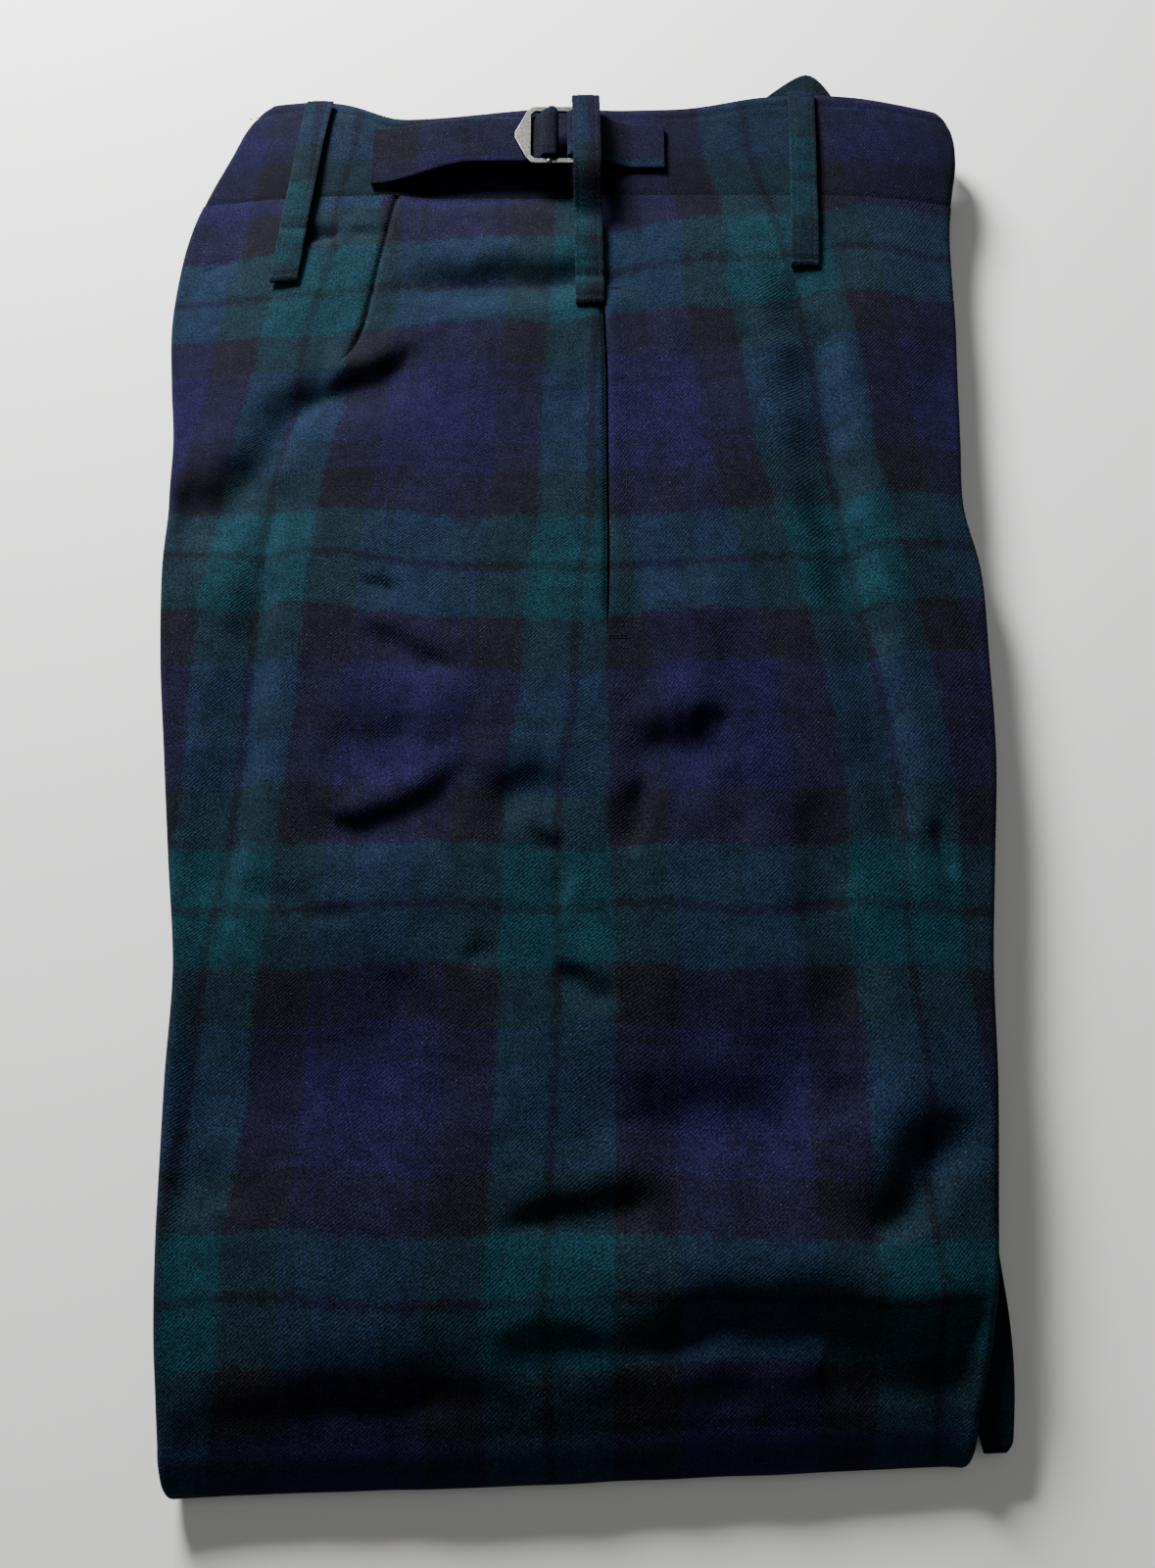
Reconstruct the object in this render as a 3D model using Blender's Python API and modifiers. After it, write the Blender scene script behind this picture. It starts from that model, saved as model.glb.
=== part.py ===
"""Tartan trews, folded leg on leg and then in half, lying on a flat surface.

+Y points to the waist, +X to the front crease and +Z up. The side seam of the near leg runs up
the middle of the top. The near leg's outer panels run from the waistband down the top, round
the knee fold and back along the surface to the hem.
"""

import math
from collections import namedtuple

import bmesh
import bpy
from mathutils import Matrix, Vector

MM = 0.001

# Driving dimensions, in millimetres
CLOTH = 1.8  # a panel with its seam allowances and lining
BAND_CLOTH = 3.6  # the waistband: two cloths round a canvas
SEAM_GAP = 0.3
LAYER_GAP = 0.6
TOP_GAP = 1.9  # between a panel's wrinkles and what lies under them
CREASE_RADIUS = 3.3  # outer radius of a leg's creased edge
BAND_CREASE_RADIUS = 4.4
CREASE_TAIL = 8.0  # how far the cloth runs on past the turn of a crease
BAND_SEAM_Y = 223.0  # where the panels meet the waistband
KNEE_HEIGHT = 31.0  # the whole stack at the knee fold
KNEE_Y = -275.0  # the middle of the knee fold's turn at the back crease
KNEE_SKEW = 0.034  # how much the fold's line climbs towards the front crease
KNEE_SKEW_FROM, KNEE_SKEW_Y = -135.0, -195.0
HEM_Y = 266.0
FAR_BAND_HEIGHT = 18.0
HIDDEN_LIP = 2.9  # outer radius of a hidden layer's edge
HIDDEN_STEP = 1.5  # where the hidden layers step down to make room for the waistbands
HEM_TOP = 14.2  # the top of the folded shins under the waistbands
ROW_STEP = 15.5
COLUMNS = 10
TURN_STEPS = 10
LOOP_WIDTH = 12.5
LOOP_CLOTH = 2.0
STRAP_CLOTH = 2.0
BUCKLE_PLATE = 1.3
ORIGIN_Y = 6.45  # the middle of the part's length, which the frame's origin lies under
PEEK_DROP = 8.0  # the far leg's fold, where it shows past the near one, isn't skewed
EDGE_REACH = 26.0  # how far the sag of an edge reaches in
BAND_CROWN = 0.9  # how much the waistband bulges between its seam and its edge
CREASE_DEPTH = 2.0 * CREASE_RADIUS + 0.4  # from a panel's outer face to the layers inside it
KNEE_DRAW = 0.5  # how much of the knee fold's sag draws its edge back
WALL = CLOTH + LAYER_GAP
TUCK = CREASE_RADIUS + CREASE_TAIL + LAYER_GAP

# The top of the folded stack, read along its length. left, seam and right are the edges that
# show, top is the height along the middle, drop is how far the edges sag below it, and peek is
# how far the far leg shows past the near one's front crease.
Station = namedtuple("Station", "y left seam right top drop peek")
TOP_STATIONS = (
    Station(284, -136, 5, 168, 24.3, 4.0, 0.0),
    Station(270, -149, 5, 174.5, 24.5, 4.5, 0.0),
    Station(250, -157, 6, 175, 25.0, 5.0, 0.0),
    Station(230, -165, 7, 172, 25.5, 6.0, 0.0),
    Station(210, -171, 9, 169, 26.2, 7.0, 0.0),
    Station(190, -174, 12, 168, 26.8, 8.0, 0.0),
    Station(160, -175, 13, 167, 27.2, 8.5, 0.0),
    Station(130, -172, 14, 165, 27.4, 8.5, 0.0),
    Station(100, -168, 14, 163, 27.6, 8.0, 0.0),
    Station(70, -167, 14, 161, 27.8, 7.5, 0.0),
    Station(40, -166, 14, 165, 28.0, 7.0, 0.0),
    Station(0, -162, 13, 164, 28.4, 6.5, 0.0),
    Station(-40, -156, 12, 162, 28.8, 6.0, 0.0),
    Station(-80, -150, 12, 157, 29.2, 5.5, 0.0),
    Station(-120, -144, 14, 152, 29.6, 5.0, 0.0),
    Station(-160, -143, 15, 149, 29.8, 4.5, 0.0),
    Station(-200, -141, 15, 145, 29.9, 4.5, 2.0),
    Station(-240, -138, 14, 141, 29.2, 4.5, 7.0),
    Station(-260, -136, 14, 138, 27.8, 4.2, 10.0),
    Station(-275, -135, 14, 134, 26.0, 3.5, 13.0),
)

# The shins underneath, from the knee fold to the hem.
ShinStation = namedtuple("ShinStation", "y left seam right")
SHIN_STATIONS = (
    ShinStation(-275, -133, 12, 131),
    ShinStation(-100, -129, 9, 128),
    ShinStation(266, -116, 4, 117),
)

# Creases and puffs of the cloth on top: the two ends of each line, how far it bows to its
# right, its height (a trough is negative) and its half width.
Fold = namedtuple("Fold", "x0 y0 x1 y1 bow height width")
FOLDS = (
    Fold(-74, 183, 2, 180, 0, -3.0, 13),
    Fold(-62, 143, -100, 127, 0, -4.0, 10),
    Fold(-98, 128, -152, 79, 6, -4.5, 13),
    Fold(-120, 155, -160, 112, 4, 2.5, 16),
    Fold(-90, 15, -42, -5, 3, -2.5, 9),
    Fold(-90, -66, -38, -46, -5, -5.0, 9),
    Fold(-78, -32, -36, -18, -4, 2.0, 14),
    Fold(-29, -45, -3, -54, 5, -4.0, 12),
    Fold(24, -14, 62, -36, 4, -3.0, 13),
    Fold(26, -50, 17, -82, 0, -2.5, 8),
    Fold(10, -100, 36, -120, 0, -2.5, 10),
    Fold(14, -163, 66, -170, -3, -4.0, 10),
    Fold(-30, -195, 38, -198, 3, -3.5, 10),
    Fold(142, -164, 98, -214, -5, -5.5, 12),
    Fold(118, -150, 88, -196, 0, 2.5, 14),
    Fold(16, -222, 84, -220, 5, -4.5, 12),
    Fold(80, -221, 138, -234, -4, -5.0, 13),
    Fold(26, -243, 92, -246, 4, 2.5, 12),
    Fold(86, -237, 124, -262, 5, -3.0, 9),
    Fold(-26, -250, -104, -272, -5, -3.0, 12),
    Fold(48, 170, 74, 106, 5, -3.0, 13),
    Fold(128, -60, 146, -84, 0, -2.5, 8),
    Fold(92, -78, 102, -106, 0, -2.5, 9),
    Fold(-146, -100, -137, -142, 0, -2.5, 9),
)

# The layered edge of the shins under the waistbands, from the top of its roll down
HEM_STEPS = (
    (0.7, 0.05),
    (1.0, 0.1),
    (0.6, 0.3),
    (0.5, 0.6),
    (0.7, 0.9),
    (2.0, 1.0),
    (4.0, 1.05),
    (5.0, 1.08),
    (5.1, 1.1),
)

# Belt loops: where each starts at the waist and ends below it.
Loop = namedtuple("Loop", "name top_x top_y base_x base_y")
LOOPS = (
    Loop("back_belt_loop", -116, 277, -125, 175),
    Loop("side_belt_loop", 5.5, 274, 7.5, 162),
    Loop("front_belt_loop", 104.5, 281, 100.5, 182),
)

# The waistband's upper edge, which waves, and the far waistband's, which shows a corner.
EdgePoint = namedtuple("EdgePoint", "x y")
BAND_TOP = (
    EdgePoint(-175, 272),
    EdgePoint(-150, 278),
    EdgePoint(-132, 281),
    EdgePoint(-108, 279),
    EdgePoint(-78, 268),
    EdgePoint(-20, 273),
    EdgePoint(47, 273.5),
    EdgePoint(90, 281),
    EdgePoint(118, 282),
    EdgePoint(143, 279.5),
    EdgePoint(165, 276.5),
    EdgePoint(175, 274),
)
FAR_BAND_TOP = (
    EdgePoint(-150, 262),
    EdgePoint(0, 266),
    EdgePoint(72, 272),
    EdgePoint(84, 282),
    EdgePoint(95, 292),
    EdgePoint(104, 299),
    EdgePoint(110, 301.4),
    EdgePoint(115, 298),
    EdgePoint(120, 290),
    EdgePoint(128, 274),
    EdgePoint(150, 266),
)

# Side adjuster
STRAP_LEFT_X, STRAP_UNDER_X = -90.0, -18.5
STRAP_LIFT = 3.6
STRAP_LEFT_Y, STRAP_RIGHT_Y = 242.5, 248.0
STRAP_LEFT_WIDTH, STRAP_RIGHT_WIDTH = 31.0, 24.8
BUCKLE_X, BUCKLE_Y, BUCKLE_HEIGHT, BUCKLE_LENGTH = -25.5, 248.0, 31.0, 28.0
BUCKLE_LIFT = 7.0  # the buckle's underside above the waistband
BUCKLE_BAR = 2.0
MIDDLE_BAR_X = -10.5
END_BAR_X = BUCKLE_X + BUCKLE_LENGTH - BUCKLE_BAR / 2.0
TAB_RIGHT_X, TAB_SEWN_X = 41.0, 27.0
TAB_WIDTH = 24.8

COLOURS = {
    "tartan": (0.035, 0.05, 0.09, 1.0),
    "dark_tartan": (0.012, 0.035, 0.05, 1.0),
    "hidden": (0.02, 0.025, 0.04, 1.0),
    "steel": (0.62, 0.62, 0.6, 1.0),
}


def clear_scene():
    for obj in list(bpy.data.objects):
        bpy.data.objects.remove(obj, do_unlink=True)


def smooth(t):
    t = min(max(t, 0.0), 1.0)
    return t * t * (3.0 - 2.0 * t)


def reading(table, column, at, key="y"):
    """A smooth curve through one column of a table, whatever way its key column runs."""
    rows = sorted(table, key=lambda row: getattr(row, key))
    keys = [getattr(row, key) for row in rows]
    values = [getattr(row, column) for row in rows]
    at = min(max(at, keys[0]), keys[-1])
    i = max(j for j in range(len(keys) - 1) if keys[j] <= at)

    def slope(j):
        before, after = max(j - 1, 0), min(j + 1, len(keys) - 1)
        return (values[after] - values[before]) / (keys[after] - keys[before])

    span = keys[i + 1] - keys[i]
    t = (at - keys[i]) / span
    start = (2 * t**3 - 3 * t**2 + 1) * values[i] + (t**3 - 2 * t**2 + t) * span * slope(i)
    end = (-2 * t**3 + 3 * t**2) * values[i + 1] + (t**3 - t**2) * span * slope(i + 1)
    return start + end


def fold_height(fold, x, y):
    """How far one crease lifts or sinks the cloth at a place."""
    along_x, along_y = fold.x1 - fold.x0, fold.y1 - fold.y0
    length = math.hypot(along_x, along_y)
    t = ((x - fold.x0) * along_x + (y - fold.y0) * along_y) / length**2
    across = ((x - fold.x0) * along_y - (y - fold.y0) * along_x) / length
    across -= fold.bow * 4.0 * t * (1.0 - t)
    end = smooth((t + 0.25) / 0.5) * smooth((1.25 - t) / 0.5)
    return fold.height * end * math.exp(-((across / fold.width) ** 2))


def top_height(x, y):
    """The height of the cloth on top of the stack."""
    left, right = reading(TOP_STATIONS, "left", y), reading(TOP_STATIONS, "right", y)
    inset = max(min(x - left, right - x), 0.0)
    edge = math.exp(-((inset / EDGE_REACH) ** 1.5))
    calm = smooth((inset - 2.0) / 16.0) * smooth((BAND_SEAM_Y - 4.0 - y) / 20.0)
    calm *= smooth((y - KNEE_Y - 2.0) / 16.0)
    folds = sum(fold_height(fold, x, y) for fold in FOLDS) * calm
    return reading(TOP_STATIONS, "top", y) - reading(TOP_STATIONS, "drop", y) * edge + folds


def edge_height(y):
    return reading(TOP_STATIONS, "top", y) - reading(TOP_STATIONS, "drop", y)


def place(x, y, z, peeks=False):
    """A place in metres. The knee fold isn't square to the leg, so it and the cloth by it shear."""
    share = smooth((KNEE_SKEW_Y - y) / (KNEE_SKEW_Y - KNEE_Y))
    drop = PEEK_DROP if peeks else 0.0
    return Vector((x, y + (KNEE_SKEW * (x - KNEE_SKEW_FROM) - drop) * share, z)) * MM


class Row:
    """One section across a panel: on top, in the turn of the knee fold, or underneath."""

    def __init__(self, y, turn=0.0, under=False):
        self.y, self.turn, self.under = y, turn, under

    def edge(self, column):
        if self.under:
            return reading(SHIN_STATIONS, column, self.y)
        share = smooth(self.turn / math.pi)
        top = reading(TOP_STATIONS, column, self.y)
        return top + (reading(SHIN_STATIONS, column, self.y) - top) * share if self.turn else top

    def point(self, x, depth=0.0, flat_from=None):
        """A place on the section, depth below the outer face. Past a crease the face is level."""
        if self.under:
            return place(x, self.y, depth)
        level_x = x if flat_from is None else flat_from
        height = top_height(level_x, self.y)
        if not self.turn:
            return place(x, self.y, height - depth)
        radius = KNEE_HEIGHT / 2.0
        sag = (KNEE_HEIGHT - height) * smooth(1.0 - self.turn / math.pi)
        y = KNEE_Y - (radius - depth - KNEE_DRAW * sag) * math.sin(self.turn)
        return place(x, y, radius + (radius - depth - sag) * math.cos(self.turn))


def rows_of_leg():
    """The sections of the near leg's outer panels, from the waistband round to the hem."""
    count = round((BAND_SEAM_Y - KNEE_Y) / ROW_STEP)
    first = BAND_SEAM_Y - SEAM_GAP
    rows = [Row(first + (KNEE_Y - first) * i / count) for i in range(count + 1)]
    rows += [Row(KNEE_Y, math.pi * i / TURN_STEPS) for i in range(1, TURN_STEPS)]
    rows += [Row(y, under=True) for y in (KNEE_Y, -200, -100, 0, 100, 200, HEM_Y)]
    return rows


def crease_columns(edge, inward, radius, tail):
    """Across a crease, from the end of its tail to the start of the flat: x and depth."""
    centre = edge + inward * radius
    columns = [(centre + inward * tail, 2.0 * radius)]
    for i in range(5):
        angle = math.pi * (1.0 - i / 4.0)
        columns.append((centre - inward * radius * math.sin(angle), radius * (1.0 - math.cos(angle))))
    return columns


def strip_mesh(name, grid):
    """An open surface through rows of points, made by bridging each row to the next."""
    mesh = bmesh.new()
    chains = []
    for points in grid:
        verts = [mesh.verts.new(point) for point in points]
        chains.append([mesh.edges.new(pair) for pair in zip(verts, verts[1:])])
    for first, second in zip(chains, chains[1:]):
        bmesh.ops.bridge_loops(mesh, edges=first + second)
    data = bpy.data.meshes.new(name)
    mesh.to_mesh(data)
    mesh.free()
    return data


def face_away(data, inside):
    """Turns an open surface so that its faces point away from a place inside the stack."""
    mesh = bmesh.new()
    mesh.from_mesh(data)
    bmesh.ops.recalc_face_normals(mesh, faces=mesh.faces)
    mesh.faces.ensure_lookup_table()
    highest = max(mesh.faces, key=lambda face: face.calc_center_median().z)
    if highest.normal.dot(highest.calc_center_median() - Vector(inside) * MM) < 0.0:
        bmesh.ops.reverse_faces(mesh, faces=mesh.faces)
    mesh.to_mesh(data)
    mesh.free()


def cloth_object(name, grid, thickness, inside, colour):
    """A cloth wall: the outer face through the grid, and the thickness laid inwards."""
    data = strip_mesh(name, grid)
    face_away(data, inside)
    obj = add_object(name, data, colour, 0.9, 0.0)
    solid = obj.modifiers.new("Cloth", "SOLIDIFY")
    solid.thickness = thickness * MM
    solid.offset = -1.0
    solid.use_even_offset = True
    return obj


def add_object(name, data, colour, roughness, metallic):
    data.transform(Matrix.Translation((0.0, -ORIGIN_Y * MM, 0.0)))
    data.shade_smooth()
    data.set_sharp_from_angle(angle=math.radians(50.0))
    obj = bpy.data.objects.new(name, data)
    trews.objects.link(obj)
    material = bpy.data.materials.new(name)
    material.use_nodes = True
    shader = material.node_tree.nodes["Principled BSDF"]
    shader.inputs["Base Color"].default_value = COLOURS[colour]
    shader.inputs["Roughness"].default_value = roughness
    shader.inputs["Metallic"].default_value = metallic
    data.materials.append(material)
    return obj


def solid_mesh(name, sections):
    """A closed solid through rings of points, bridged, with both ends filled."""
    mesh = bmesh.new()
    rings = []
    for points in sections:
        verts = [mesh.verts.new(point) for point in points]
        rings.append([mesh.edges.new((a, b)) for a, b in zip(verts, verts[1:] + verts[:1])])
    for first, second in zip(rings, rings[1:]):
        bmesh.ops.bridge_loops(mesh, edges=first + second)
    for ring in (rings[0], rings[-1]):
        bmesh.ops.edgenet_fill(mesh, edges=ring)
    bmesh.ops.triangulate(mesh, faces=[face for face in mesh.faces if len(face.verts) > 4])
    bmesh.ops.recalc_face_normals(mesh, faces=mesh.faces)
    data = bpy.data.meshes.new(name)
    mesh.to_mesh(data)
    mesh.free()
    return data


def flat_columns(side, row):
    """Where a panel's flat columns lie across one section, from its crease to the side seam."""
    start = row.edge("left" if side < 0 else "right") - side * CREASE_RADIUS
    seam = row.edge("seam") + side * SEAM_GAP / 2.0
    return [start + (seam - start) * i / COLUMNS for i in range(COLUMNS + 1)]


def panel_grid(side):
    """The near back panel (side -1) or front panel (side 1), crease to seam."""
    column = "left" if side < 0 else "right"
    grid = []
    for row in rows_of_leg():
        edge = row.edge(column)
        flat = flat_columns(side, row)
        line = [
            row.point(x, depth, flat_from=flat[0])
            for x, depth in crease_columns(edge, -side, CREASE_RADIUS, CREASE_TAIL)
        ]
        grid.append(line + [row.point(x) for x in flat[1:]])
    return grid


def build_panels():
    for name, side in (("near_back_panel", -1), ("near_front_panel", 1)):
        cloth_object(name, panel_grid(side), CLOTH, (0, 0, KNEE_HEIGHT / 2.0), "tartan")


def half_round(centre, side, radius):
    """Half round a hidden layer's edge, from its top to its foot."""
    angles = [math.pi * i / 3.0 for i in range(4)]
    return [
        (centre[0] + side * radius * math.sin(a), centre[1] + radius * math.cos(a)) for a in angles
    ]


def hidden_side(side, y, tuck, top, shoulder, foot):
    """The layered edge of the hidden legs on one side, from the top down."""
    peek = reading(TOP_STATIONS, "peek", y) if side > 0 else 0.0
    column = "left" if side < 0 else "right"
    edge, shin_edge = reading(TOP_STATIONS, column, y), reading(SHIN_STATIONS, column, y)
    apart = abs(edge) - abs(shin_edge)
    lip = HIDDEN_LIP if apart > 20.0 else min(HIDDEN_LIP, (shoulder - foot) / 4.0 - 0.1)
    thigh = (edge - side * (lip + 1.0 - peek), shoulder - lip)
    shin = (shin_edge - side * (lip + 0.5 - peek / 2.0), foot + lip)
    shin_top, thigh_low = foot + 2.0 * lip, shoulder - 2.0 * lip
    before_lip = side * min(abs(edge) + 0.5, abs(thigh[0]) - 1.0)
    mouth = (side * min(abs(shin_edge) + 6.0, abs(thigh[0]) - 1.0), max(shin_top + 0.6, thigh_low))
    inner = [(edge - side * tuck, top), (edge - side * tuck, shoulder), (before_lip, shoulder)]
    outer = half_round(thigh, side, lip)
    outer.append(mouth)
    low = [(side * min(abs(edge) + 0.5, abs(mouth[0]) - 0.5), mouth[1])]
    low.append((shin_edge - side * 7.0, max(shin_top + 0.25, (shin_top + thigh_low) / 2.0)))
    low += half_round(shin, side, lip)
    low.append((shin_edge - side * TUCK, foot))
    return inner, outer, low


def hidden_ends(side, y, turned, top, bottom, shoulder, foot):
    """One side of a ring round the hidden layers, as places."""
    tuck = TUCK + 0.5 * turned
    inner, outer, low = hidden_side(side, y, tuck, top, shoulder, foot)
    low.append((low[-1][0], bottom))
    places = [place(x, y - turned, z) for x, z in inner]
    places += [place(x, y - turned, z, peeks=side > 0) for x, z in outer]
    return places + [place(x, y - turned, z) for x, z in low]


def hem_ends(side, y):
    """The edge of the folded shins where they run on under the waistbands."""
    edge = reading(SHIN_STATIONS, "left" if side < 0 else "right", y)
    lip = (HEM_TOP - 0.2 - CREASE_DEPTH) / 4.0 - 0.1
    points = [(edge - side * TUCK, HEM_TOP)]
    points += [(edge - side * (HIDDEN_LIP + inset), HEM_TOP - down) for inset, down in HEM_STEPS]
    points += half_round((edge - side * (lip + 0.5), CREASE_DEPTH + lip), side, lip)
    points += [(edge - side * TUCK, CREASE_DEPTH), (edge - side * TUCK, WALL)]
    return [Vector((x, y, z)) * MM for x, z in points]


def hem_section(y):
    """A ring round the shins' hidden layers where they run on under the waistbands."""
    left, right = reading(SHIN_STATIONS, "left", y), reading(SHIN_STATIONS, "right", y)
    span = right - left - 2.0 * TUCK
    count = 2 * COLUMNS
    ring = [
        Vector((left + TUCK + span * i / count, y, HEM_TOP)) * MM for i in range(1, count)
    ]
    return ring + hem_ends(1, y) + list(reversed(hem_ends(-1, y)))


def hidden_section(y, turned=0.0):
    """A ring round the hidden layers, under the panels' own columns."""
    foot = CREASE_DEPTH + 0.4 * turned
    radius = KNEE_HEIGHT / 2.0
    sink = radius - WALL - math.sqrt((radius - WALL) ** 2 - turned**2)
    fold_sink = radius - foot - math.sqrt((radius - foot) ** 2 - turned**2)
    row = Row(y)
    columns = {side: flat_columns(side, row) for side in (-1, 1)}
    xs = columns[-1][1:-1] + [row.edge("seam")] + columns[1][-2:0:-1]
    under = CLOTH + TOP_GAP + sink
    ring = [place(x, y - turned, top_height(x, y) - under) for x in xs]
    sides = {}
    for side, column in ((-1, "left"), (1, "right")):
        edge = row.edge(column)
        outer, inner = (top_height(x, y) for x in columns[side][:2])
        tuck = TUCK + 0.5 * turned
        share = (abs(columns[side][0]) - abs(edge) + tuck) / abs(columns[side][0] - columns[side][1])
        top = outer + (inner - outer) * share - under
        shoulder = edge_height(y) - foot - fold_sink
        sides[side] = hidden_ends(
            side, y, turned, top, WALL + sink, shoulder, foot + fold_sink
        )
    return ring + sides[1] + list(reversed(sides[-1]))


def build_hidden_layers():
    """Inner legs, far leg and pocket bags as one rounded solid, layered at the edges."""
    count = round((BAND_SEAM_Y - KNEE_Y) / ROW_STEP)
    first = BAND_SEAM_Y - SEAM_GAP
    sections = [hem_section(HEM_Y - 2.0), hem_section(BAND_SEAM_Y - SEAM_GAP)]
    sections.append(hidden_section(first - HIDDEN_STEP))
    sections += [hidden_section(first + (KNEE_Y - first) * i / count) for i in range(1, count + 1)]
    sections += [hidden_section(KNEE_Y, turned) for turned in (2.5, 4.5)]
    add_object("hidden_layers", solid_mesh("hidden_layers", sections), "hidden", 0.9, 0.0)


def band_point(x, share, depth=0.0, level_x=None):
    """A place on the near waistband: share runs from its lower seam to its upper edge."""
    y = BAND_SEAM_Y + (reading(BAND_TOP, "y", x, "x") - BAND_SEAM_Y) * share
    y += (1.0 - share) * depth / BAND_CREASE_RADIUS
    flat_x = x if level_x is None else level_x
    crown = BAND_CROWN * math.sin(math.pi * share)
    return Vector((x, y, top_height(flat_x, y) + crown - depth)) * MM


def band_edge(side, share):
    column = "left" if side < 0 else "right"
    y = BAND_SEAM_Y + (reading(BAND_TOP, "y", side * 150.0, "x") - BAND_SEAM_Y) * share
    return reading(TOP_STATIONS, column, y)


def build_waistbands():
    grid = []
    for i in range(5):
        share = i / 4.0
        left, right = band_edge(-1, share), band_edge(1, share)
        starts = (left + BAND_CREASE_RADIUS, right - BAND_CREASE_RADIUS)
        tails = [
            [
                band_point(x, share, depth, level_x=start)
                for x, depth in crease_columns(edge, -side, BAND_CREASE_RADIUS, CREASE_TAIL)
            ]
            for side, edge, start in ((-1, left, starts[0]), (1, right, starts[1]))
        ]
        flat = [
            band_point(starts[0] + (starts[1] - starts[0]) * j / 20.0, share) for j in range(1, 20)
        ]
        grid.append(tails[0] + flat + list(reversed(tails[1])))
    cloth_object("near_waistband", grid, BAND_CLOTH, (0, 250, 0), "tartan")
    grid = []
    inset = BAND_CREASE_RADIUS + CREASE_TAIL + 3.0 * LAYER_GAP
    for i in range(3):
        share = i / 2.0
        line = []
        left, right = band_edge(-1, share) + inset, band_edge(1, share) - inset
        for j in range(25):
            x = left + (right - left) * j / 24.0
            y = BAND_SEAM_Y + (reading(FAR_BAND_TOP, "y", x, "x") - BAND_SEAM_Y) * share
            height = min(FAR_BAND_HEIGHT, top_height(x, y) - BAND_CLOTH - LAYER_GAP)
            line.append(Vector((x, y, height)) * MM)
        grid.append(line)
    cloth_object("far_waistband", grid, BAND_CLOTH, (0, 250, 0), "dark_tartan")


def surface(x, y):
    """The height of whatever cloth shows on top: the waistband or a panel."""
    top_y = reading(BAND_TOP, "y", x, "x")
    if y < BAND_SEAM_Y:
        return top_height(x, y)
    share = min((y - BAND_SEAM_Y) / (top_y - BAND_SEAM_Y), 1.0)
    return top_height(x, y) + BAND_CROWN * math.sin(math.pi * share)


def loop_lift(loop, y):
    """How far a loop stands off the cloth under it: more over the adjuster's tab."""
    share = (loop.top_y - y) / (loop.top_y - loop.base_y)
    lift = 1.4 * math.sin(math.pi * min(max(share, 0.0), 1.0))
    if loop.name == "side_belt_loop":
        lift += 11.0 * smooth((y - 204.0) / 26.0) * smooth((276.5 - y) / 12.0)
    return lift


def build_loops():
    for loop in LOOPS:
        grid = []
        count = 22
        length = loop.top_y - loop.base_y
        for i in range(count + 1):
            share = i / count
            y = loop.top_y - length * share
            x = loop.top_x + (loop.base_x - loop.top_x) * share
            rest = max(
                surface(x + across * LOOP_WIDTH / 2.0, y + step)
                for across in (-1.0, 0.0, 1.0)
                for step in (-4.0, 0.0, 4.0)
            )
            height = rest + loop_lift(loop, y) + LOOP_CLOTH + SEAM_GAP
            grid.append(
                [
                    Vector((x + across * LOOP_WIDTH / 2.0, y, height)) * MM
                    for across in (-1.0, -0.5, 0.0, 0.5, 1.0)
                ]
            )
        cloth_object(loop.name, grid, LOOP_CLOTH, (loop.top_x, 230, 0), "dark_tartan")


def bar_turn(centre_x, start, end, steps):
    """The outer face of a cloth that turns over one of the buckle's bars, as x and height."""
    centre = surface(BUCKLE_X, BUCKLE_Y) + BUCKLE_LIFT + BUCKLE_PLATE / 2.0
    radius = BUCKLE_PLATE / 2.0 + SEAM_GAP + 0.1 + STRAP_CLOTH
    angles = [math.radians(start + (end - start) * i / steps) for i in range(steps + 1)]
    half_bar = BUCKLE_BAR / 2.0
    return [
        (
            centre_x + radius * math.cos(a) + half_bar * max(min(2.0 * math.cos(a), 1.0), -1.0),
            centre + radius * math.sin(a),
        )
        for a in angles
    ]


def strap_path():
    """The long strap along its length: sewn down, lifted, under the plate and over the bar."""
    path = []
    for i in range(9):
        x = STRAP_LEFT_X + (STRAP_UNDER_X - STRAP_LEFT_X) * i / 8.0
        share = (x - STRAP_LEFT_X) / (STRAP_UNDER_X - STRAP_LEFT_X)
        base = surface(x, STRAP_LEFT_Y + 6.0) + STRAP_CLOTH + SEAM_GAP + 0.4
        path.append((x, base + STRAP_LIFT * smooth(share / 0.6)))
    return path + bar_turn(MIDDLE_BAR_X, 165.0, -20.0, 8)


def tab_path():
    """The short tab: over the end bar, then down to where it is sewn to the waistband."""
    path = bar_turn(END_BAR_X, 200.0, 75.0, 6)
    start_x, start_z = path[-1]
    for i in range(1, 8):
        x = start_x + (TAB_RIGHT_X - start_x) * i / 7.0
        base = surface(x, BUCKLE_Y) + STRAP_CLOTH + SEAM_GAP + 0.3
        share = smooth((x - start_x) / (TAB_SEWN_X - start_x))
        path.append((x, start_z + (base - start_z) * share))
    return path


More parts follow.
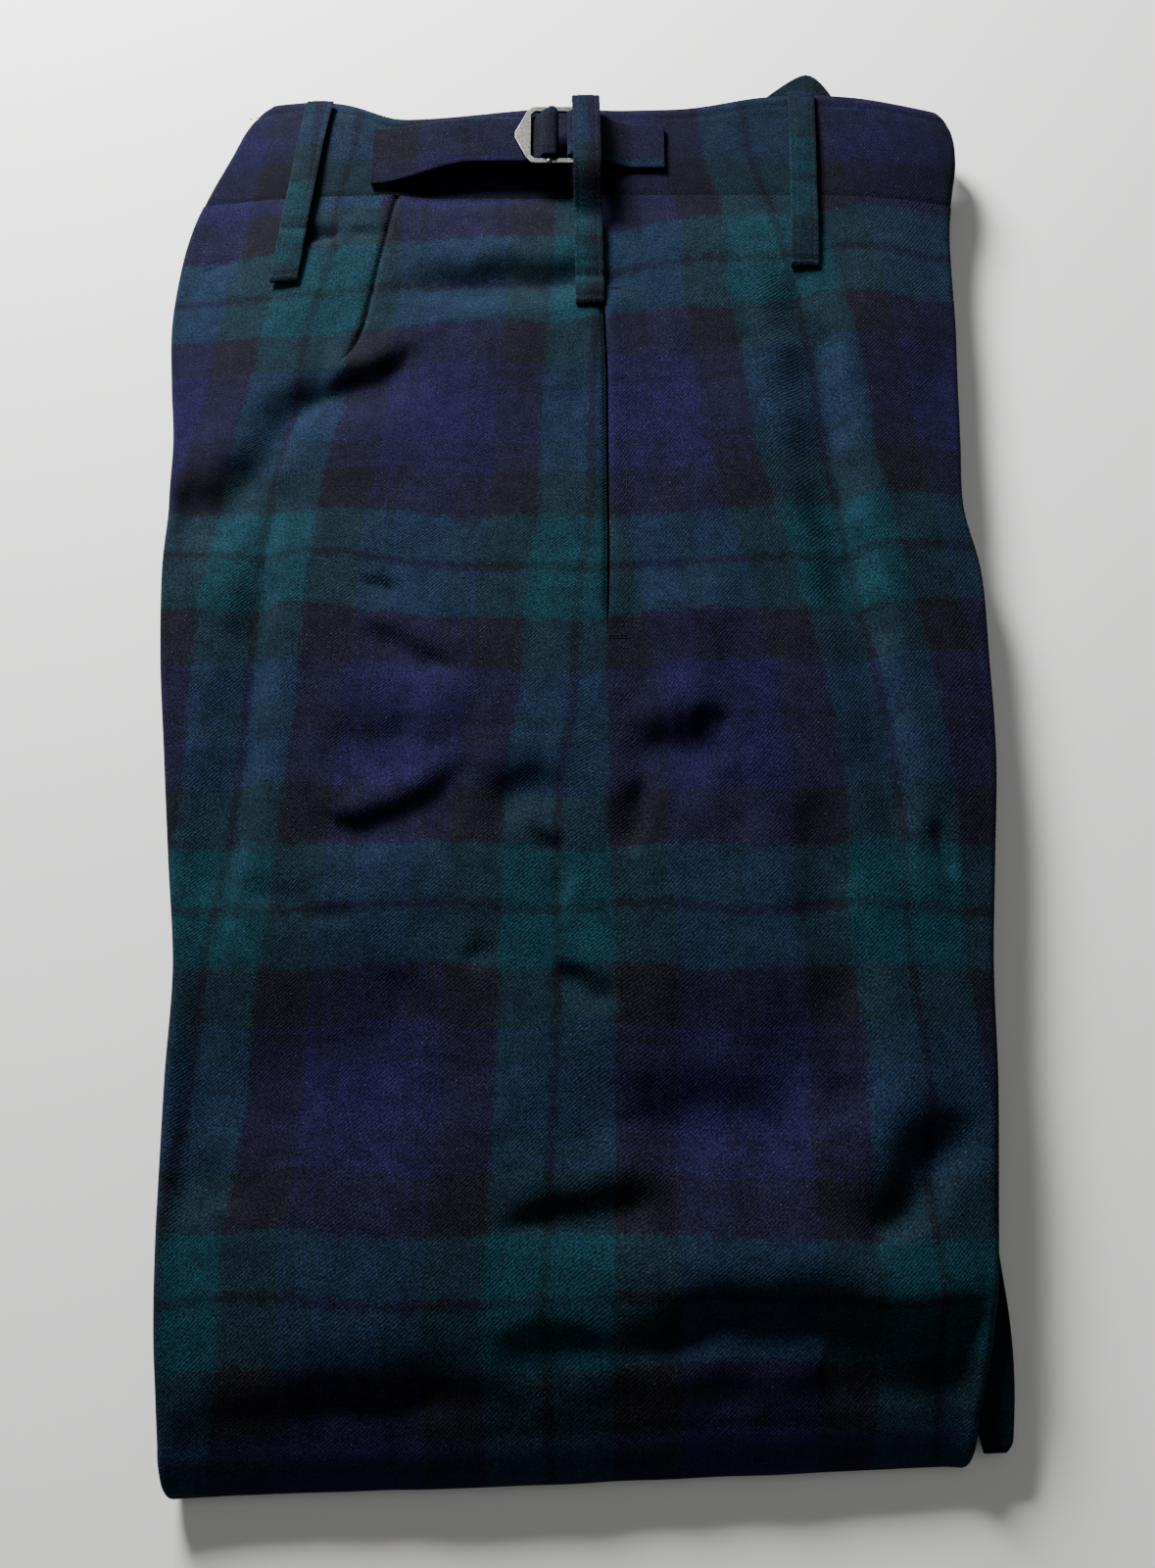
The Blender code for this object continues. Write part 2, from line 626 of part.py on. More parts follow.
def build_adjuster():
    grid = []
    for x, z in strap_path():
        share = (x - STRAP_LEFT_X) / (STRAP_UNDER_X - STRAP_LEFT_X)
        width = STRAP_LEFT_WIDTH + (STRAP_RIGHT_WIDTH - STRAP_LEFT_WIDTH) * smooth(share * 1.6)
        y = STRAP_LEFT_Y + (STRAP_RIGHT_Y - STRAP_LEFT_Y) * smooth(share * 1.4)
        grid.append([Vector((x, y + part * width, z)) * MM for part in (-0.5, -0.17, 0.17, 0.5)])
    cloth_object("adjuster_strap", grid, STRAP_CLOTH, (0, 248, 0), "dark_tartan")
    grid = []
    for x, z in tab_path():
        grid.append(
            [Vector((x, BUCKLE_Y + part * TAB_WIDTH, z)) * MM for part in (-0.5, -0.17, 0.17, 0.5)]
        )
    cloth_object("adjuster_tab", grid, STRAP_CLOTH, (20, 248, 0), "dark_tartan")


def flat_outline(name, outlines, bevel):
    """A flat plate from closed outlines, the first its edge and the others its windows."""
    curve = bpy.data.curves.new(name, "CURVE")
    curve.dimensions = "2D"
    curve.fill_mode = "BOTH"
    curve.extrude = (BUCKLE_PLATE / 2.0 - bevel) * MM
    curve.bevel_depth = bevel * MM
    curve.bevel_resolution = 1
    for points in outlines:
        spline = curve.splines.new("POLY")
        spline.points.add(len(points) - 1)
        for point, (x, y) in zip(spline.points, points):
            point.co = (x * MM, y * MM, 0.0, 1.0)
        spline.use_cyclic_u = True
    obj = bpy.data.objects.new(name, curve)
    trews.objects.link(obj)
    obj.location = (0.0, 0.0, (surface(BUCKLE_X, BUCKLE_Y) + BUCKLE_LIFT + BUCKLE_PLATE / 2) * MM)
    return obj


def build_buckle():
    """A slide buckle: a pointed plate, two side rails, a middle bar and an end bar."""
    half = BUCKLE_HEIGHT / 2.0
    left, right = BUCKLE_X, BUCKLE_X + BUCKLE_LENGTH
    outline = (
        (left, BUCKLE_Y - 1.5),
        (left + 6.5, BUCKLE_Y - half),
        (right, BUCKLE_Y - half),
        (right, BUCKLE_Y + half),
        (left + 6.5, BUCKLE_Y + half),
        (left, BUCKLE_Y + 1.5),
    )
    inner = half - BUCKLE_BAR
    bar_left = MIDDLE_BAR_X - BUCKLE_BAR / 2.0
    first = (
        (left + 6.0, BUCKLE_Y - inner),
        (left + 6.0, BUCKLE_Y + inner),
        (bar_left, BUCKLE_Y + inner),
        (bar_left, BUCKLE_Y - inner),
    )
    second = (
        (bar_left + BUCKLE_BAR, BUCKLE_Y - inner),
        (bar_left + BUCKLE_BAR, BUCKLE_Y + inner),
        (right - BUCKLE_BAR, BUCKLE_Y + inner),
        (right - BUCKLE_BAR, BUCKLE_Y - inner),
    )
    plate = flat_outline("buckle_outline", (outline, first, second), 0.25)
    graph = bpy.context.evaluated_depsgraph_get()
    data = bpy.data.meshes.new_from_object(plate.evaluated_get(graph))
    data.transform(plate.matrix_basis)
    bpy.data.objects.remove(plate)
    mesh = bmesh.new()
    mesh.from_mesh(data)
    bmesh.ops.remove_doubles(mesh, verts=mesh.verts, dist=0.00001)
    mesh.to_mesh(data)
    mesh.free()
    data.name = "adjuster_buckle"
    data.materials.clear()
    add_object("adjuster_buckle", data, "steel", 0.3, 1.0)


clear_scene()
trews = bpy.data.collections.new("tartan_trews")
bpy.context.scene.collection.children.link(trews)
build_panels()
build_hidden_layers()
build_waistbands()
build_loops()
build_adjuster()
build_buckle()
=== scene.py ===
"""Tartan trews, folded leg on leg and then in half, dressed as the photograph shows them.

+Y points to the waist, +X to the front crease and +Z up. Lengths in the tables are millimetres.
"""

import math
from collections import namedtuple

import bmesh
import bpy
import numpy as np
from bpy.props import FloatProperty, FloatVectorProperty, PointerProperty
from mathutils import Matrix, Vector


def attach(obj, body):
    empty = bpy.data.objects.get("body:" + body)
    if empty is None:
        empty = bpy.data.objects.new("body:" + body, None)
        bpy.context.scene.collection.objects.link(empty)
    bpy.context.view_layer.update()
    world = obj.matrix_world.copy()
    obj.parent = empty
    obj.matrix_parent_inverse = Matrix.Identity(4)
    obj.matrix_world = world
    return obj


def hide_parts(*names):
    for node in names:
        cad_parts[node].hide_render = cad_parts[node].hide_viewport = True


bl_info = {
    "name": "Tartan Trews",
    "version": (1, 0, 0),
    "blender": (4, 5, 0),
    "location": "3D View > Sidebar > Trews",
    "description": "Folded tartan trews with belt loops and a buckled side adjuster",
    "category": "Object",
}

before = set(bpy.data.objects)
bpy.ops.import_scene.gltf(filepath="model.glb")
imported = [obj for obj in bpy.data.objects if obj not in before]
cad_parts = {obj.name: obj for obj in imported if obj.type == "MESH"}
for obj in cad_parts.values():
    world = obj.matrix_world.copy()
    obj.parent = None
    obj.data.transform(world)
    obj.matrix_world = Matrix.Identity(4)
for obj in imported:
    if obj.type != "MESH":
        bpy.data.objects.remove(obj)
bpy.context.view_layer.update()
MM = 0.001

# Sizes shared with the solids
CLOTH = 1.8
BAND_CLOTH = 3.6
SEAM_GAP = 0.3
CREASE_RADIUS = 3.3
BAND_CREASE_RADIUS = 4.4
CREASE_TAIL = 8.0
BAND_SEAM_Y = 223.0
KNEE_HEIGHT = 31.0
KNEE_Y = -275.0
KNEE_DRAW = 0.5
KNEE_REACH = 1.7
KNEE_ROLL, KNEE_ROLL_Y, KNEE_SLOPE = 7.4, -229.0, 0.34
KNEE_SKEW = 0.034
KNEE_SKEW_FROM, KNEE_SKEW_Y = -135.0, -195.0
HEM_Y = 266.0
HEM_TOP = 14.2
FAR_BAND_HEIGHT = 18.0
LOOP_WIDTH = 12.5
LOOP_CLOTH = 2.0
STRAP_CLOTH = 2.0
BUCKLE_PLATE = 1.3
LAYER_GAP = 0.6
ORIGIN_Y = 6.45
PEEK_DROP = 8.0
BAND_CROWN = 0.9
FOLD_LIMIT = 9.5
LEFT_REACH, RIGHT_REACH = 38.0, 26.0
EDGES = {-1: "left", 1: "right"}

# The top of the stack along its length: the edges and the side seam, the height along the
# middle, how far the edges sag below it, and how far the far leg shows past the near one.
Station = namedtuple("Station", "y left seam right top drop peek")
TOP_STATIONS = [Station(*row) for row in (
    (284, -136, 5, 168, 24.3, 4.0, 0.0),
    (270, -149, 5, 174.5, 24.5, 4.5, 0.0),
    (250, -157, 6, 175, 25.0, 5.0, 0.0),
    (230, -165, 7, 172, 25.5, 6.0, 0.0),
    (210, -171, 9, 169, 26.2, 7.0, 0.0),
    (190, -174, 12, 168, 26.8, 8.0, 0.0),
    (160, -175, 13, 167, 27.2, 8.5, 0.0),
    (130, -172, 14, 165, 27.4, 8.5, 0.0),
    (100, -168, 14, 163, 27.6, 8.0, 0.0),
    (70, -167, 14, 161, 27.8, 7.5, 0.0),
    (40, -166, 14, 165, 28.0, 7.0, 0.0),
    (0, -162, 13, 164, 28.4, 6.5, 0.0),
    (-40, -156, 12, 162, 28.8, 6.0, 0.0),
    (-80, -150, 12, 157, 29.2, 5.5, 0.0),
    (-120, -144, 14, 152, 29.6, 5.0, 0.0),
    (-160, -143, 15, 149, 29.8, 4.5, 0.0),
    (-200, -141, 15, 145, 29.9, 4.5, 2.0),
    (-240, -138, 14, 141, 29.2, 4.5, 7.0),
    (-260, -136, 14, 138, 27.8, 4.2, 10.0),
    (-275, -135, 14, 134, 26.0, 3.5, 13.0),
)]
ShinStation = namedtuple("ShinStation", "y left seam right")
SHIN_STATIONS = [ShinStation(*row) for row in (
    (-275, -133, 12, 131), (-100, -129, 9, 128), (266, -116, 4, 117),
)]

# Creases of the cloth on top: the line of the trough, its depth, its half widths on the left of
# the line's way and on its right, and the height of the puff on its left. A ridge is negative.
Crease = namedtuple("Crease", "path depth left right puff")
CREASES = [Crease(*row) for row in (
    (((-78, 173), (-44, 175), (-17, 177), (6, 178), (27, 175)), 4.4, 7.0, 10, 1.4),
    (((-120, 204), (-109, 201), (-101, 200)), 3.0, 3.8, 4, 0.6),
    (((-101, 201), (-80, 203)), 1.2, 2.8, 3, 0.2),
    (((-165, 186), (-147, 193)), 0.8, 3.0, 5, 0.1),
    (((-118, 118), (-100, 119), (-82, 126), (-62, 142)), 4.2, 5.0, 14, 2.0),
    (((-184, 69), (-152, 66), (-128, 69), (-104, 76)), 5.6, 12, 18, 0.6),
    (((-150, 63), (-133, 81), (-119, 104), (-108, 124), (-99, 138)), 5.0, 9, 7, 1.4),
    (((-84, 33), (-68, 25)), 1.7, 3.0, 3.5, 0.3),
    (((-82, 12), (-65, 2), (-43, -8)), 2.4, 4.2, 7, 0.8),
    (((-96, -40), (-75, -37), (-56, -27)), 2.4, 10, 12, 0.6),
    (((-62, -22), (-35, -20)), -2.0, 10, 12, 0.0),
    (((-99, -60), (-88, -68), (-77, -70), (-64, -66), (-50, -57), (-34, -43)), 3.3, 4.5, 12, 1.6),
    (((-28, -71), (-23, -57), (-13, -54), (2, -61)), 3.6, 7.0, 8, 1.2),
    (((-17, -70), (-6, -77), (-4, -87), (-4, -102)), 2.8, 3.4, 5, 0.3),
    (((-8, -121), (6, -128), (17, -134)), 3.2, 4.2, 6, 0.9),
    (((-100, -103), (-76, -102)), 0.8, 3.0, 3.5, 0.1),
    (((-66, -121), (-57, -135), (-45, -142)), 1.8, 5, 6, 0.0),
    (((-123, 72), (-123, 41), (-123, 4), (-125, -34), (-127, -78), (-129, -118)),
     8.0, 6, 13, 0.8),
    (((19, -32), (39, -40), (63, -34)), 4.2, 9, 14, 2.2),
    (((45, -28), (62, -29)), 2.4, 5, 6, 0.3),
    (((27, -49), (24, -66), (19, -80)), 3.4, 5.0, 6.5, 0.0),
    (((63, -43), (62, -76)), 2.2, 5, 9, 0.0),
    (((134, -65), (136, -79), (141, -88)), 2.4, 3.0, 3.0, 0.3),
    (((9, -165), (36, -162), (68, -167)), 1.2, 6.5, 8, 0.6),
    (((14, -176), (28, -173), (46, -173), (75, -172)), 4.0, 7.0, 10, 2.0),
    (((19, -178), (89, -174)), 2.6, 34, 24, 0.0),
    (((100, -217), (109, -204), (120, -191), (131, -178), (141, -171)), 6.0, 9.0, 8, 2.2),
    (((-28, -207), (-8, -206), (13, -202), (36, -201)), 3.6, 6.0, 9, 1.4),
    (((11, -253), (34, -245), (52, -242), (69, -242),
     (86, -244), (102, -254), (116, -267)), 6.0, 10.5, 10.8, 3.0),
    (((85, -241), (110, -249), (137, -246), (160, -236)), 5.2, 9, 56, 1.2),
    (((-28, -248), (-7, -248), (16, -247)), 2.8, 6.0, 10, 0.8),
    (((-185, -285), (-140, -285), (-114, -281), (-88, -272), (-60, -266),
     (-20, -262)), 5.2, 11, 13, 1.2),
    (((92, 184), (97, 162), (103, 145), (107, 100), (110, 40), (116, 1)),
     9.4, 6.5, 13, 1.4),
    (((112, 63), (116, 1), (119, -29), (121, -56), (120, -97)), 6.4, 6, 12, 0.8),
    (((-230, -184), (-150, -174), (-86, -158), (-20, -148)), 8.0, 36, 30, 0.0),
    (((-4, -171), (53, -168), (114, -158)), 5.0, 34, 18, 0.0),
    (((100, 59), (112, 35)), 1.0, 4, 5, 0.0),
    (((71, 154), (79, 123)), 1.0, 5, 7, 0.0),
    (((2, 132), (1, 104)), 0.9, 4, 4, 0.0),
    (((-40, -118), (-25, -114)), 1.6, 4, 5, 0.0),
    (((90, -158), (97, -174)), 1.2, 5, 6, 0.0),
    (((-122, -90), (-114, -94), (-90, -97)), 1.1, 5, 5, 0.2),
    (((24, 16), (44, 19), (69, 20)), -2.4, 15, 22, 0.0),
    (((-140, -196), (-122, -194), (-104, -199)), 2.2, 7, 8, 0.6),
    (((91, -52), (93, -90), (97, -125), (98, -156)), 5.4, 11, 12, 0.0),
    (((-40, -288), (67, -286), (128, -284), (190, -284)), 5.6, 22, 24, 0.0),
)]

# Where the green checks' middles lie: across the leg for the back crease's, the side seam's and
# the front crease's, and along it for four bands at three places.
Lattice = namedtuple("Lattice", "y left centre right")
ACROSS = [Lattice(*row) for row in (
    (284, -97, 10, 77), (250, -99, 11, 79), (219, -104, 11, 86), (183, -107, 11, 95),
    (150, -112, 10, 100), (99, -119.5, 8, 103), (67, -122.5, 6, 109), (32, -125.3, 3.5, 114),
    (-2, -127, 0.5, 118.5), (-40, -127.8, -3, 121), (-98, -129.5, -6, 122), (-175, -135.5, -7, 123),
    (-230, -137, -7.5, 122), (-275, -138.5, -8, 121),
)]
ALONG_X = (-115.0, 6.0, 126.0)
ALONG = ((169.0, 179.0, 194.5), (45.6, 35.0, 49.0), (-99.0, -99.0, -99.0), (-230.0, -232.0, -233.5))
HALF_SETT = 126.0
HALF_SETT_LENGTH = 138.0

# The sett as thread counts between its two pivots, in half-pivots at the ends.
Stripe = namedtuple("Stripe", "threads dye")
SETT = [Stripe(*row) for row in (
    (9, "blue"), (3, "line"), (2, "blue"), (3, "line"), (2, "blue"), (16, "black"), (15.5, "green"),
    (3, "guard"), (15.5, "green"), (16, "black"), (15, "blue"), (3, "line"), (1, "blue"),
)]
SETT_UNITS = sum(stripe.threads for stripe in SETT)

Loop = namedtuple("Loop", "name top_x top_y base_x base_y u0 v0 tilt")
LOOPS = (
    Loop("back_belt_loop", -116, 277, -125, 175, 0.88, 0.779, 0.7),
    Loop("side_belt_loop", 5.5, 274, 7.5, 162, 1.107, 0.774, 0.0),
    Loop("front_belt_loop", 104.5, 281, 100.5, 182, 0.88, 0.66, -0.7),
)

# The upper edges of the near and far waistbands
EdgePoint = namedtuple("EdgePoint", "x y")
BAND_TOP = [EdgePoint(*row) for row in (
    (-175, 272), (-150, 278), (-132, 281), (-108, 279), (-78, 268), (-20, 273), (47, 273.5),
    (90, 281), (118, 282), (143, 279.5), (165, 276.5), (175, 274),
)]
FAR_BAND_TOP = [EdgePoint(*row) for row in (
    (-150, 262), (0, 266), (72, 272), (84, 282), (95, 292), (104, 299), (110, 301.4), (115, 298),
    (120, 290), (128, 274), (150, 266),
)]

# The back dart, from the waistband down to its point
DART_X = ((131.0, -99.0), (140.0, -93.5), (154.0, -89.0), (185.0, -84.5), (223.0, -78.5))
POCKET_TOP_Y, POCKET_FOOT_Y = 172.0, 7.0

STRAP_LEFT_X, STRAP_UNDER_X = -90.0, -18.5
STRAP_LIFT = 3.6
STRAP_LEFT_Y, STRAP_RIGHT_Y = 242.5, 248.0
STRAP_LEFT_WIDTH, STRAP_RIGHT_WIDTH = 31.0, 24.8
BUCKLE_X, BUCKLE_Y, BUCKLE_HEIGHT, BUCKLE_LENGTH = -25.5, 248.0, 31.0, 28.0
BUCKLE_LIFT = 7.0
BUCKLE_BAR = 2.0
MIDDLE_BAR_X = -10.5
END_BAR_X = BUCKLE_X + BUCKLE_LENGTH - BUCKLE_BAR / 2.0
TAB_RIGHT_X, TAB_SEWN_X = 41.0, 27.0
TAB_WIDTH = 24.8

# The camera and the light, in metres and degrees
AIM = (0.002, -0.05845, 0.026)
CAMERA_TILT = 17.5
CAMERA_DISTANCE = 0.44
CAMERA_LENS = 27.0
CEILING_SHARE = 0.07


def linear(colour):
    """An sRGB hex colour as linear parts with an alpha."""
    parts = [int(colour[i : i + 2], 16) / 255.0 for i in (0, 2, 4)]
    parts = [c / 12.92 if c <= 0.04045 else ((c + 0.055) / 1.055) ** 2.4 for c in parts]
    return (*parts, 1.0)


def smooth(t):
    t = np.clip(t, 0.0, 1.0)
    return t * t * (3.0 - 2.0 * t)


def ridge(off, width):
    """A rounded ridge: 1 along its line, and next to nothing two widths off."""
    return np.exp(-((off / width) ** 2))


def reading(table, column, at, key="y"):
    """A smooth curve through one column of a table, read at one place or many."""
    rows = sorted(table, key=lambda row: getattr(row, key))
    keys = np.array([getattr(row, key) for row in rows], float)
    values = np.array([getattr(row, column) for row in rows], float)
    at = np.clip(at, keys[0], keys[-1])
    i = np.clip(np.searchsorted(keys, at, side="right") - 1, 0, len(keys) - 2)
    before = np.maximum(np.arange(len(keys)) - 1, 0)
    after = np.minimum(np.arange(len(keys)) + 1, len(keys) - 1)
    slope = (values[after] - values[before]) / (keys[after] - keys[before])
    span = keys[i + 1] - keys[i]
    t = (at - keys[i]) / span
    start = (2 * t**3 - 3 * t**2 + 1) * values[i] + (t**3 - 2 * t**2 + t) * span * slope[i]
    end = (-2 * t**3 + 3 * t**2) * values[i + 1] + (t**3 - t**2) * span * slope[i + 1]
    return start + end


def stack(column, y):
    """An edge or height of the folded stack at a place along its length."""
    return reading(TOP_STATIONS, column, y)


def band_top(x):
    """Where the near waistband's upper edge runs."""
    return reading(BAND_TOP, "y", x, "x")


def crease_height(crease, x, y):
    """How far one crease sinks or lifts the cloth at many places."""
    path = np.array(crease.path, float)
    margin = 4.5 * max(crease.left, crease.right)
    low, high = path.min(axis=0) - margin, path.max(axis=0) + margin
    total = np.zeros(np.broadcast(x, y).shape)
    near = (x > low[0]) & (x < high[0]) & (y > low[1]) & (y < high[1])
    if not np.any(near):
        return total
    x, y = np.broadcast_to(x, near.shape)[near], np.broadcast_to(y, near.shape)[near]
    steps = np.diff(path, axis=0)
    lengths = np.hypot(*steps.T)
    run = np.concatenate([[0.0], np.cumsum(lengths)])
    best, off, at = np.full(x.shape, 1e9), np.zeros(x.shape), np.zeros(x.shape)
    for i, (start, step) in enumerate(zip(path, steps)):
        along = ((x - start[0]) * step[0] + (y - start[1]) * step[1]) / lengths[i] ** 2
        held = np.clip(along, 0.0, 1.0)
        gap_x, gap_y = x - start[0] - held * step[0], y - start[1] - held * step[1]
        distance = np.hypot(gap_x, gap_y)
        sign = np.where(step[0] * gap_y - step[1] * gap_x >= 0.0, 1.0, -1.0)
        nearer = distance < best
        best = np.where(nearer, distance, best)
        off = np.where(nearer, sign * distance, off)
        at = np.where(nearer, run[i] + held * lengths[i], at)
    share = at / run[-1]
    end = smooth(share / 0.36 + 0.12) * smooth((1.0 - share) / 0.36 + 0.12)
    off = off + 0.15 * crease.left * np.sin(at / 5.3 + 9.0 * crease.depth)
    width = np.where(off > 0.0, crease.left, crease.right)
    width = width * (0.62 + 0.45 * np.sin(math.pi * share + 0.5 * np.sin(3.0 * crease.depth)))
    trough = -crease.depth * ridge(off, width)
    puff = crease.puff * ridge(off - 2.1 * crease.left, 1.4 * crease.left)
    total[near] = (trough + puff) * end * bpy.context.scene.trews_folds.depth
    return total


def ripple(x, y):
    """The slight unevenness of cloth that lies on cloth."""
    slow = np.sin(x / 23.0 + 1.3 * np.sin(y / 41.0)) * np.sin(y / 29.0 + 0.8 * np.sin(x / 37.0))
    quick = np.sin(x / 9.1 + 1.1 * np.sin(y / 17.0) + 0.7) * np.sin(y / 12.3 + np.sin(x / 14.0))
    return bpy.context.scene.trews_folds.unevenness / MM * (slow + 0.42 * quick)


def top_height(x, y):
    """The height of the cloth on top of the stack."""
    left, right = stack("left", y), stack("right", y)
    inset = np.maximum(np.minimum(x - left, right - x), 0.0)
    edge = np.exp(-((inset / np.where(x - left < right - x, LEFT_REACH, RIGHT_REACH)) ** 1.5))
    calm = (0.15 + 0.85 * smooth((inset - 1.0) / 9.0)) * smooth((BAND_SEAM_Y - 3.0 - y) / 18.0)
    calm = calm * (0.35 + 0.65 * smooth((y - KNEE_Y - 1.0) / 12.0))
    folds = sum(crease_height(crease, x, y) for crease in CREASES)
    # Where creases cross, the layers underneath stop the cloth from sinking further
    folds = np.where(folds < 0.0, FOLD_LIMIT * np.tanh(folds / FOLD_LIMIT), folds) + ripple(x, y)
    base = stack("top", y) - stack("drop", y) * edge
    return base + folds * calm - under_strap(x, y) - knee_roll(y) * (1.0 - 0.45 * edge)


def knee_roll(y):
    """How far the cloth has sunk on its way into the knee fold."""
    return KNEE_ROLL * np.clip((KNEE_ROLL_Y - y) / (KNEE_ROLL_Y - KNEE_Y), 0.0, 1.0) ** 1.6


def under_strap(x, y):
    """The cloth sinks along the waist seam, under the strap that draws it in."""
    along = smooth((x + 84.0) / 24.0) * smooth((10.0 - x) / 14.0)
    return 2.6 * along * ridge(y - 226.0, 9.0)


def edge_height(y):
    return stack("top", y) - stack("drop", y) - 0.55 * knee_roll(y)


def placed(x, y, z):
    """Places in millimetres, sheared towards the knee fold, which isn't square to the leg."""
    share = smooth((KNEE_SKEW_Y - y) / (KNEE_SKEW_Y - KNEE_Y))
    return np.stack([x, y + KNEE_SKEW * (x - KNEE_SKEW_FROM) * share, z], axis=-1)


def dart_x(y):
    """The dart's line, and below its point the line that its columns run on along."""
    ys, xs = zip(*DART_X)
    left, seam = stack("left", y), stack("seam", y)
    share = (xs[0] - stack("left", ys[0])) / (stack("seam", ys[0]) - stack("left", ys[0]))
    return np.where(y > ys[0], np.interp(y, ys, xs), left + (seam - left) * share)


def row_units(x, y):
    """How many half setts along the cloth a place lies from the first green band."""
    bands = [np.interp(x, ALONG_X, band) for band in ALONG]
    above = (bands[0] - y) / HALF_SETT_LENGTH
    between = [i + (bands[i] - y) / (bands[i] - bands[i + 1]) for i in range(3)]
    below = 3.0 + (bands[3] - y) / HALF_SETT_LENGTH
    return np.select(
        [y > bands[0], y > bands[1], y > bands[2], y > bands[3]], [above, *between], below
    )


def column_units(side, x, y, left_of_dart):
    """How many half setts across the cloth a place lies from the back crease's green band."""
    centre = reading(ACROSS, "centre", y)
    if side > 0:
        off = x - reading(ACROSS, "right", y)
        # Left of the front crease's valley the cloth is fuller
        full = 9.0 * smooth((213.0 - y) / 45.0) * smooth((y + 15.0) / 120.0)
        return 2.0 + (off + full * smooth(-off / 26.0)) / HALF_SETT
    left = reading(ACROSS, "left", y)
    taken = np.maximum(HALF_SETT - (centre - left), 0.0) * smooth((y - 131.0) / 20.0)
    span = centre - left + taken
    return np.where(left_of_dart, (x - left) / span, 1.0 + (x - centre) / span)


def new_material(name):
    material = bpy.data.materials.new(name)
    material.use_nodes = True
    material.node_tree.nodes.clear()
    return material, material.node_tree


def add(tree, kind, inputs=None, **settings):
    """One node with its settings, its sockets set or linked."""
    node = tree.nodes.new(kind)
    for key, value in settings.items():
        setattr(node, key, value)
    for socket, value in (inputs or {}).items():
        if isinstance(value, bpy.types.NodeSocket):
            tree.links.new(value, node.inputs[socket])
        else:
            node.inputs[socket].default_value = value
    return node


def yarn(tree, units, dyes):
    """A yarn's dye at a place in half setts. The sett runs there and back between its pivots."""
    shifted = add(tree, "ShaderNodeMath", {0: units, 1: 0.5}, operation="SUBTRACT").outputs[0]
    turned = add(tree, "ShaderNodeMath", {0: shifted, 1: 1.0}, operation="PINGPONG").outputs[0]
    stripes = add(tree, "ShaderNodeValToRGB", {0: turned})
    ramp = stripes.color_ramp
    ramp.interpolation = "CONSTANT"
    while len(ramp.elements) > 1:
        ramp.elements.remove(ramp.elements[-1])
    at = 0.0
    for i, stripe in enumerate(SETT):
        stop = ramp.elements.new(at) if i else ramp.elements[0]
        stop.position = at
        stop.color = dyes[stripe.dye]
        at += stripe.threads / SETT_UNITS
    return stripes.outputs["Color"]


